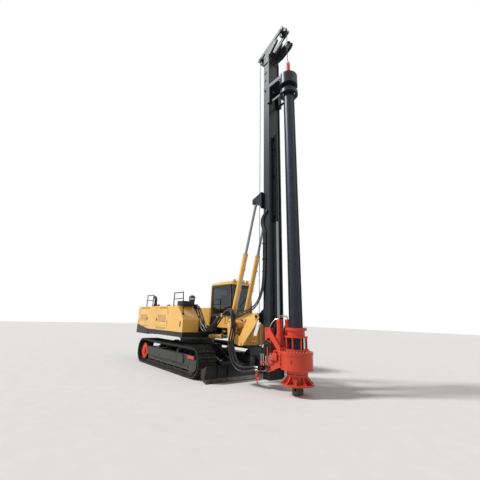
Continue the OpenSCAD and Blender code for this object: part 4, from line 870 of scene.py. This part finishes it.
makePiece("bulkhead_fittings", "upper", "zincPlate", bars=[
    ((x + dy * 0.6, low, z + dz), (x + dy * 0.6, high, z + dz), 22, 6) for _, dy, dz in five])
makePiece("boom_hose_clamp", "boom", "yellowEnamel",
          blocks=clamps["boomBracket"] + [clamps["boomClamp"]])
makePiece("boom_clamp_fittings", "boom", "zincPlate", bars=[
    ((x, -398 + dy, 1694 + dz), (x + 42, -398 + dy, 1700 + dz), 27, 6)
    for _, dy, dz in five for x in clamps["boomFittingsX"]
], bolts=[((2228, y, 1772), (0, 0, 1), 18, 10) for y in clamps["boomBolts"]])
makePiece("carrier_hose_clamps", "carrier", "sealRubber", blocks=[
    ((x - 20, -516, z - 14), (x + 26, -369, z + 70), 5) for x, z in clamps["onCarrier"]])
makePiece("mast_hose_clamps", "mast", "blackEnamel",
          blocks=clamps["footBracket"] + [clamps["upperClamp"]]
          + [((3786, -279, z - 14), (3928, -224, z + 14), 4) for z in clamps["mastZ"]])
_, footY, footZ = hoses["loop"][-1]
footX, *sleeve = clamps["footSleeve"]
makePiece("mast_foot_fittings", "mast", "zincPlate", bars=[
    ((x0, footY + dy, footZ + dz), (x1, footY + dy, footZ + dz), *size) for dx, dy, dz in loopEnds
    for x0, x1, *size in ((footX + dx, *sleeve), *clamps["footNuts"])])
driveHoses = makePiece("hoses_foot_to_drive", None, "hoseRubber", tubes=[
    ([(3882, y, footZ), (3930, y, 424), (x - 14, (y - 304) / 2, 446), (x, -305, 500),
      (x, -302, 556)], thin, 8) for x, y in zip(hoses["toDriveX"], (-322, -374, -426))])
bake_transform(driveHoses)
print("hoses made")

# wire ropes: from the winch up the mast's back, over both sheaves and down to the swivel
rope = {"radius": 11, "winch": (3480, 620), "rear": (3525, 10850), "front": (4575, 11305),
        "sheave": 168, "drum": 111, "lobes": 5, "twist": 1.0, "turns": 14, "pitch": 24,
        "coilStart": -168, "dropX": 4743, "dropLength": 1470, "dropSteps": 24,
        "socketX": 4750, "socketZ": (9850, 9920)}
winch, rear, front = rope["winch"], rope["rear"], rope["front"]
tilt = math.atan2(front[1] - rear[1], front[0] - rear[0])
laid = (rope["radius"], 10, rope["lobes"], rope["twist"])


def onSheave(centre, angle):
    return mm(centre[0] + rope["sheave"] * math.cos(angle), 0,
              centre[1] + rope["sheave"] * math.sin(angle))


path = [mm(winch[0] - rope["drum"], 0, winch[1])]
path += [onSheave(rear, math.pi - i / 8 * (math.pi / 2 - tilt)) for i in range(9)]
path += [onSheave(front, (math.pi / 2 + tilt) * (1 - i / 12)) for i in range(13)]
dense = []
for a, b in zip(path, path[1:]):
    count = max(1, int((b - a).length / 0.25))
    dense += [a.lerp(b, k / count) for k in range(count)]
makePiece("main_rope", "mast", "wireRope", runs=[(dense + path[-1:], *laid)])
drop, steps, socket = rope["dropX"], rope["dropSteps"], rope["socketX"]
ropeDrop = makePiece("kelly_rope", None, "wireRope", runs=[(
    [mm(drop, 0, front[1] - k * rope["dropLength"] / steps) for k in range(steps + 1)], *laid
)], bars=[((socket, 0, rope["socketZ"][0]), (socket, 0, rope["socketZ"][1]), 22, 12, 0, 14)])
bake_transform(ropeDrop)
coil = []
for k in range(rope["turns"] * 20 + 1):
    angle = k * math.tau / 20
    coil.append(mm(winch[0] + rope["drum"] * math.cos(angle),
                   k / 20 * rope["pitch"] + rope["coilStart"],
                   winch[1] + rope["drum"] * math.sin(angle)))
makePiece("drum_rope", "winch_drum", "wireRope", runs=[(coil, rope["radius"], 6)])
winchTrim = {"capY": (-330, -352), "capRadius": 70, "capBolts": (88, 8), "cheekY": 225,
             "cheekBolts": (150, 6, 0.4), "ports": ((3440, -345, 700), (3520, -250, 742))}
(x, z), (near, far) = winch, winchTrim["capY"]
makePiece("winch_bolts", "mast", "machinedSteel", bolts=[
    ((bx, near, bz), (0, -1, 0), 20, 11) for bx, bz in ringOf(winch, *winchTrim["capBolts"])
] + [((bx, side * winchTrim["cheekY"], bz), (0, side, 0), 18, 10)
     for side in (-1, 1) for bx, bz in ringOf(winch, *winchTrim["cheekBolts"])])
makePiece("winch_motor_cap", "mast", "blackEnamel",
          bars=[((x, near, z), (x, far, z), winchTrim["capRadius"], 24, 5)],
          blocks=[(*winchTrim["ports"], 5)])
print("ropes made")

# boom, carrier and cylinders
pins = {"carrier": ((2500, 1440), (2420, 1620), (3680, 1700)), "face": (369.5, 379),
        "keeperHalf": 60, "keeperZ": (-96, -62), "mastPivot": (3680, 1700),
        "cylinderEye": (3470, 5050), "feetZ": (330, 390, 950, 990), "headX": (3830, 4010),
        "headZ": (10320, 10560), "topZ": 10630,
        "top": ((3830, 150), (3830, -150), (4020, 150), (4020, -150), (3830, 300), (4020, 300))}
keepers, keeperBolts, mastBolts = [], [], []
for side in (-1, 1):
    out = (0, side, 0)
    low, high = sorted(side * y for y in pins["face"])
    for x, z in pins["carrier"]:
        keepers.append(((x - pins["keeperHalf"], low, z + pins["keeperZ"][0]),
                        (x + pins["keeperHalf"], high, z + pins["keeperZ"][1]), 2))
        keeperBolts += [((x + dx, side * 379, z - 79), out, 20, 11) for dx in (-38, 38)]
    mastBolts += [((3780, side * 180, z), (-1, 0, 0), 24, 14) for z in pins["feetZ"]]
    mastBolts += [((x, side * 384, z), out, 16, 9)
                  for x, z in ringOf(pins["mastPivot"], 30, 3, 0.5)]
    mastBolts += [((x, side * 335, z), out, 16, 9)
                  for x, z in ringOf(pins["cylinderEye"], 30, 4, 0.4)]
    mastBolts += [((x, side * 225, z), out, 24, 14) for x in pins["headX"] for z in pins["headZ"]]
mastBolts += [((x, y, pins["topZ"]), (0, 0, 1), 24, 14) for x, y in pins["top"]]
makePiece("pin_keepers", "carrier", "yellowEnamel", blocks=keepers)
makePiece("pin_keeper_bolts", "carrier", "machinedSteel", bolts=keeperBolts, bars=[
    ((2500, side * 384, 1440), (2500, side * 389, 1440), 12, 24, 1) for side in (-1, 1)])
makePiece("mast_bolts", "mast", "machinedSteel", bolts=mastBolts)

tiltCylinder = {"base": Vector((2420, 1620)), "eye": Vector((3470, 5050)), "y": 240,
                "radius": 75, "bandRadius": 79, "bands": (330, 900, 1500), "bandWidth": 26,
                "pipeRadius": 9, "pipeOffset": 97, "pipes": ((-26, 1880), (26, 420)),
                "headBolts": (1985, 1996), "headBoltRing": (56, 10)}
along = (tiltCylinder["eye"] - tiltCylinder["base"]).normalized()
aside = Vector((along.y, -along.x))


def onBarrel(reach, offset, y):
    p = tiltCylinder["base"] + along * reach + aside * offset
    return p.x, y, p.y


pipes, bands, lugs = [], [], []
away, wide = tiltCylinder["pipeOffset"], tiltCylinder["bandWidth"]
low, high = tiltCylinder["headBolts"]
for y in (-tiltCylinder["y"], tiltCylinder["y"]):
    pipes += [([onBarrel(reach, offset, y + dy) for reach, offset in (
        (180, 60), (190, 96), (260, away), (end - 60, away), (end, 94), (end + 20, 60))],
        tiltCylinder["pipeRadius"], 8, 0.06) for dy, end in tiltCylinder["pipes"]]
    for reach in tiltCylinder["bands"]:
        bands.append((onBarrel(reach, 0, y), onBarrel(reach + wide, 0, y), tiltCylinder["radius"],
                      tiltCylinder["bandRadius"]))
        lugs.append((onBarrel(reach + wide / 2, 74, y), onBarrel(reach + wide / 2, 112, y), 40, 4))
    lugs += [(onBarrel(low, dx, y + dy), onBarrel(high, dx, y + dy), 9, 6)
             for dx, dy in ringOf((0, 0), *tiltCylinder["headBoltRing"])]
makePiece("tilt_cylinder_pipes", "mast_barrel", "zincPlate", tubes=pipes)
makePiece("tilt_cylinder_bands", "mast_barrel", "yellowEnamel", bands=bands, bars=lugs)
print("boom and cylinders trimmed")

# rotary drive: flange bolts, valve block with its fittings, springs in the cage
gear = {"at": (4750, 0), "topRadius": 368, "topZ": 930, "rimRadius": 375, "rimZ": (526, 541),
        "backX": 4560, "sleeveBolts": ((282, 0.2, 980), (238, 0.1, 1460)), "springRadius": 211,
        "springWire": 3.2, "springCoil": 12, "springTurns": 8, "springZ": (988, 1231)}
makePiece("gearbox_bolts", "drive", "zincPlate", bolts=[
    ((x, y, gear["topZ"]), (0, 0, 1), 22, 12)
    for x, y in ringOf(gear["at"], gear["topRadius"], 30)[1:] if x > gear["backX"]])
makePiece("gearbox_rim_bolts", "drive", "redEnamel", bars=[
    ((x, y, gear["rimZ"][0]), (x, y, gear["rimZ"][1]), 12, 6)
    for x, y in ringOf(gear["at"], gear["rimRadius"], 24, 0.13) if x > gear["backX"]])
makePiece("sleeve_bolts", "drive_sleeve", "machinedSteel", bolts=[
    ((x, y, z), (0, 0, 1), 18, 10) for radius, start, z in gear["sleeveBolts"]
    for x, y in ringOf(gear["at"], radius, 16, start)])
springs = []
coil, turns, low, high = gear["springCoil"], gear["springTurns"], *gear["springZ"]
for x, y in ringOf(gear["at"], gear["springRadius"], 14, 0.1):
    wire = []
    for k in range(8 * turns + 1):
        angle = k * math.tau / 8
        wire.append(mm(x + coil * math.cos(angle), y + coil * math.sin(angle),
                       low + k * (high - low) / (8 * turns)))
    springs.append((wire, gear["springWire"], 5))
makePiece("cage_springs", "drive_sleeve", "blackEnamel", runs=springs)
valves = {
    "blocks": [((4119, -322, 600), (4241, -205, 830), 6),
               ((4150, -345, 700), (4320, -285, 800), 6),
               ((3925, -318, 596), (4125, -286, 640), 5),
               ((3802, -342, 592), (3930, -288, 640), 12),
               ((4240, -336, 690), (4395, -286, 866), 14),
               ((4268, -322, 860), (4318, -286, 925), 10)],
    "spoolsX": (4165, 4205, 4245, 4285), "drain": (4072, -325), "portAngles": (-72, -30),
    "portRadius": (383, 397), "portZ": 740,
}
ports = []
for degrees in valves["portAngles"]:
    ends = [gear["at"][0] + r * math.cos(math.radians(degrees)) for r in valves["portRadius"]]
    sides = [r * math.sin(math.radians(degrees)) for r in valves["portRadius"]]
    ports.append(((ends[0], sides[0], valves["portZ"]), (ends[1], sides[1], valves["portZ"]),
                  34, 24, 3))
makePiece("drive_valves", "drive", "redEnamel", blocks=valves["blocks"],
          bars=[((x, -315, 799), (x, -315, 860), 15, 12, 3) for x in valves["spoolsX"]]
          + [((*valves["drain"], 985), (*valves["drain"], 640), 17, 12, 4)] + ports)
fittings = {  # X of each row, its Y, and the height, radius, sides and bevel of each step
    (3826, 3906): (-314, ((638, 692, 13, 12), (690, 722, 22, 6), (720, 806, 18, 12, 3),
                          (532, 594, 15, 12, 3))),
    hoses["toDriveX"]: (-306, ((638, 770, 13, 12, 2), (660, 690, 17, 6))),
}
silver = [((x, y, z0), (x, y, z1), *size) for row, (y, levels) in fittings.items()
          for x in row for z0, z1, *size in levels]
silver += [((x, -302, 598), (x, -302, 550), 13, 6) for x in hoses["toDriveX"]]
silver += [((x, -345, z), (x, y, z), r, 6) for x in (4160, 4200, 4240, 4280)
           for y, z, r in ((-372, 725, 14), (-365, 772, 12))]
makePiece("drive_fittings", "drive", "zincPlate", bars=silver)
lines = {
    "archRadius": 14, "radius": 13, "pipeRadius": 11, "pipeRise": (0, 26),
    "arches": [
        [(3826, -314, 800), (3826, -314, 930), (3862, -314, 1030), (3960, -314, 1098),
         (4075, -310, 1122), (4150, -308, 1066), (4168, -308, 960), (4180, -315, 856)],
        [(3906, -314, 800), (3906, -314, 925), (3938, -312, 1000), (4010, -310, 1052),
         (4080, -308, 1048), (4118, -306, 980), (4132, -304, 905), (4140, -300, 826)]],
    "drainPipe": [(4060, -262, 1380), (4120, -240, 1520), (4220, -190, 1640), (4300, -160, 1655)],
    # start and step to the second line in X, in Y and in Z
    "toMotor": ((4180, 30, 196, 24, 825, 0), (4175, 30, 196, 24, 1100, 0),
                (4170, 30, 196, 24, 1400, 0), (4205, 20, 190, 0, 1530, 0),
                (4290, 0, 160, 10, 1560, 30)),
}
makePiece("motor_lines", "drive", "hoseRubber", tubes=[
    (arch, lines["archRadius"], 8, 0.03) for arch in lines["arches"]
] + [([(x + k * dx, side * (y + k * dy), z + k * dz) for x, dx, y, dy, z, dz in lines["toMotor"]],
      lines["radius"], 8) for side in (-1, 1) for k in (0, 1)])
makePiece("motor_pipes", "drive", "zincPlate", tubes=[
    ([(4325, -150, 1650), (4335, -140, 1692 + rise), (4345, 0, 1716 + rise),
      (4335, 140, 1692 + rise), (4325, 150, 1650)], lines["pipeRadius"], 8, 0.03)
    for rise in lines["pipeRise"]
] + [(lines["drainPipe"], lines["pipeRadius"], 8, 0.03)])
motors = {"places": ((4330, -150), (4330, 150)), "boltRadius": 84, "bolts": 8, "boltZ": 1284,
          "drums": ((1259, 1285, 92, 4), (1560, 1652, 78, 5))}
makePiece("motor_flanges", "drive", "redEnamel", bars=[
    ((*place, low), (*place, high), radius, 28, bevel) for place in motors["places"]
    for low, high, radius, bevel in motors["drums"]
], bolts=[((x, y, motors["boltZ"]), (0, 0, 1), 16, 9) for place in motors["places"]
          for x, y in ringOf(place, motors["boltRadius"], motors["bolts"])])
carriageBolts = ((4000, 970), (4000, 1020), (4000, 1360), (4000, 1410), (4470, 640), (4460, 720),
                 (4450, 800), (3980, 480), (4080, 470))
makePiece("carriage_bolts", "drive", "machinedSteel", bolts=[
    ((x, side * 285, z), (0, side, 0), 20, 10) for side in (-1, 1) for x, z in carriageBolts])

guide = {"padZ": ((8792, 8801), (8442, 8451)), "padR": (203, 240), "pads": 12, "padShare": 0.88,
         "armBoltsX": (3900, 4000, 4200, 4330, 4460), "armBolts": (285, 9105),
         "flangeBolts": (262, 18, 0.1), "flangeBoltZ": (8786, 8801)}
y, z = guide["armBolts"]
low, high = guide["flangeBoltZ"]
makePiece("guide_bolts", "kelly_guide", "machinedSteel", bolts=[
    ((x, side * y, z), (0, side, 0), 22, 12) for side in (-1, 1) for x in guide["armBoltsX"]
], bars=[((bx, by, low), (bx, by, high), 12, 6)
         for bx, by in ringOf(gear["at"], *guide["flangeBolts"])])
wear = bmesh.new()
for z0, z1 in guide["padZ"]:
    for k in range(guide["pads"]):
        a0, a1 = ((k + 0.5 + end * guide["padShare"] / 2) * math.tau / guide["pads"]
                  for end in (-1, 1))
        inner, outer = guide["padR"]
        corners = [wear.verts.new(mm(gear["at"][0] + r * math.cos(a), r * math.sin(a), z0))
                   for r, a in ((inner, a0), (inner, a1), (outer, a1), (outer, a0))]
        raised = bmesh.ops.extrude_face_region(wear, geom=[wear.faces.new(corners)])["geom"]
        bmesh.ops.translate(wear, vec=(0, 0, (z1 - z0) / 1000),
                            verts=[v for v in raised if isinstance(v, bmesh.types.BMVert)])
finishPiece("guide_wear_pads", wear, "kelly_guide", "sealRubber")
makePiece("kelly_head_bolts", "kelly_tube", "machinedSteel", bolts=[
    ((x, y, 9260), (0, 0, 1), 24, 14) for x, y in ringOf(gear["at"], 205, 12)])
print("drive and kelly trimmed")

# cab: seals, panels, lamps, wiper, controls
cab = {
    "sideWindow": [(220, 1780), (1480, 1780), (1400, 2720), (220, 2720)],
    "doorWindow": [(720, 1500), (1410, 1500), (1370, 2660), (720, 2660)],
    "rearSide": [(200, 1780), (560, 1780), (560, 2700), (200, 2700)],
    "pillar": [(1482, 1240), (1508, 1240), (1590, 1402), (1590, 1898), (1483, 2768),
               (1404, 2768), (1482, 1790)],
    "screenEdge": [(1599, 1905), (1607, 1905), (1499, 2760), (1491, 2760)],
    "screenTop": [(1504, 2716), (1512, 2716), (1504, 2760), (1494, 2760)],
    "screenY": (404, 474, 1150, 1186), "face": (397, 405), "doorFace": 1219,
    "sidePanel": ((150, 397, 1240), (1490, 405, 1716)),
    "lowerScreen": [((1599, 440, 1380), (1606, 1184, 1424)),
                    ((1599, 440, 1876), (1606, 1184, 1909)),
                    ((1599, 440, 1420), (1606, 478, 1880)),
                    ((1599, 1146, 1420), (1606, 1184, 1880))],
    "wiperArm": ((1606, 560, 1925), (1560, 980, 2290), 6, 6),
    "wiperBlade": ((1597, 700, 1985), (1541, 1060, 2440), 8, 6),
    "doorHandle": ((1330, 1219, 1385), (1440, 1236, 1425), 5),
    "doorStrip": ((660, 1219, 1270), (1440, 1223, 1350), 2),
    # dark vinyl linings on the inner walls: a lining, and also painted shade that darkens the cab's
    # inside seen through the glass
    "doorLiningShade": ((650, 1172, 1236), (1462, 1181, 1480), 2),
    "floorMat": ((152, 446, 1221), (1440, 1160, 1229), 2),
    "lining": [((151, 450, 1222), (160, 1176, 1880), 2), ((162, 1171, 1222), (620, 1180, 1770), 2),
               ((162, 444, 1222), (1440, 453, 1770), 2)],
    "rail": [(1540, 1218, 1330), (1545, 1235, 1345), (1550, 1235, 1600), (1548, 1235, 1900),
             (1540, 1218, 1920)],
    "railRadius": 11, "lampsY": (479, 669, 859, 1049), "levers": (520, 1100),
    "pedals": (760, 880), "pedalLevers": (700, 780, 860, 940), "screenStand": (1341, 540),
}
makePiece("cab_seals", "upper", "sealRubber",
          frames=[(cab["sideWindow"], 62, *cab["face"]), (cab["rearSide"], 30, 1219, 1226)],
          blocks=[(*cab["sidePanel"], 2)] + cab["lowerScreen"],
          plates=[(cab["pillar"], *cab["face"])])
y0, y1, y2, y3 = cab["screenY"]
makePiece("windscreen_trim", "upper", "sealRubber",
          plates=[(cab["screenEdge"], y0, y1), (cab["screenEdge"], y2, y3),
                  (cab["screenTop"], y1, y2)],
          bars=[cab["wiperArm"], cab["wiperBlade"]])
makePiece("door_trim", "cab_door", "sealRubber",
          frames=[(cab["doorWindow"], 26, cab["doorFace"], cab["doorFace"] + 6)],
          blocks=[cab["doorHandle"], cab["doorStrip"]])
# dark linings inside the cab, partly lining and partly painted shade on the inner walls seen
# through the glass
makePiece("door_lining_shade", "cab_door", "seatVinyl", blocks=[cab["doorLiningShade"]])
makePiece("cab_lining_shade", "upper", "seatVinyl", blocks=[cab["floorMat"]] + cab["lining"])
makePiece("cab_grab_rail", "upper", "blackEnamel",
          tubes=[(cab["rail"], cab["railRadius"], 8, 0.03)])
makePiece("roof_lamp_lenses", "upper", "clearLens", blocks=[
    ((1449, y + 10, 2881), (1455, y + 90, 2933), 2) for y in cab["lampsY"]])
makePiece("roof_lamp_rims", "upper", "sealRubber", blocks=[
    ((1440, y - 3, 2868), (1451, y + 103, 2944), 3) for y in cab["lampsY"]])
makePiece("cab_controls", "upper", "seatVinyl", blocks=[
    ((620, y - 60, 1640), (980, y + 60, 1760), 12) for y in cab["levers"]
] + [((1330, 450, 1700), (1352, 640, 1850), 6)] + [
    ((1420, y - 35, 1225), (1500, y + 35, 1255), 4) for y in cab["pedals"]
], bars=[bar for y in cab["levers"] for bar in (
    ((930, y, 1755), (930, y, 1860), 11, 10), ((930, y, 1850), (934, y, 1940), 22, 12, 4, 17))
] + [bar for y in cab["pedalLevers"] for bar in (
    ((1290, y, 1470), (1270, y, 1720), 8, 8), ((1272, y, 1700), (1268, y, 1760), 15, 10, 3))
] + [((*cab["screenStand"], 1480), (*cab["screenStand"], 1702), 9, 8)])
makePiece("seat_headrest", "upper", "seatVinyl", blocks=[((385, 700, 2280), (455, 925, 2460), 25)])
print("cab dressed")
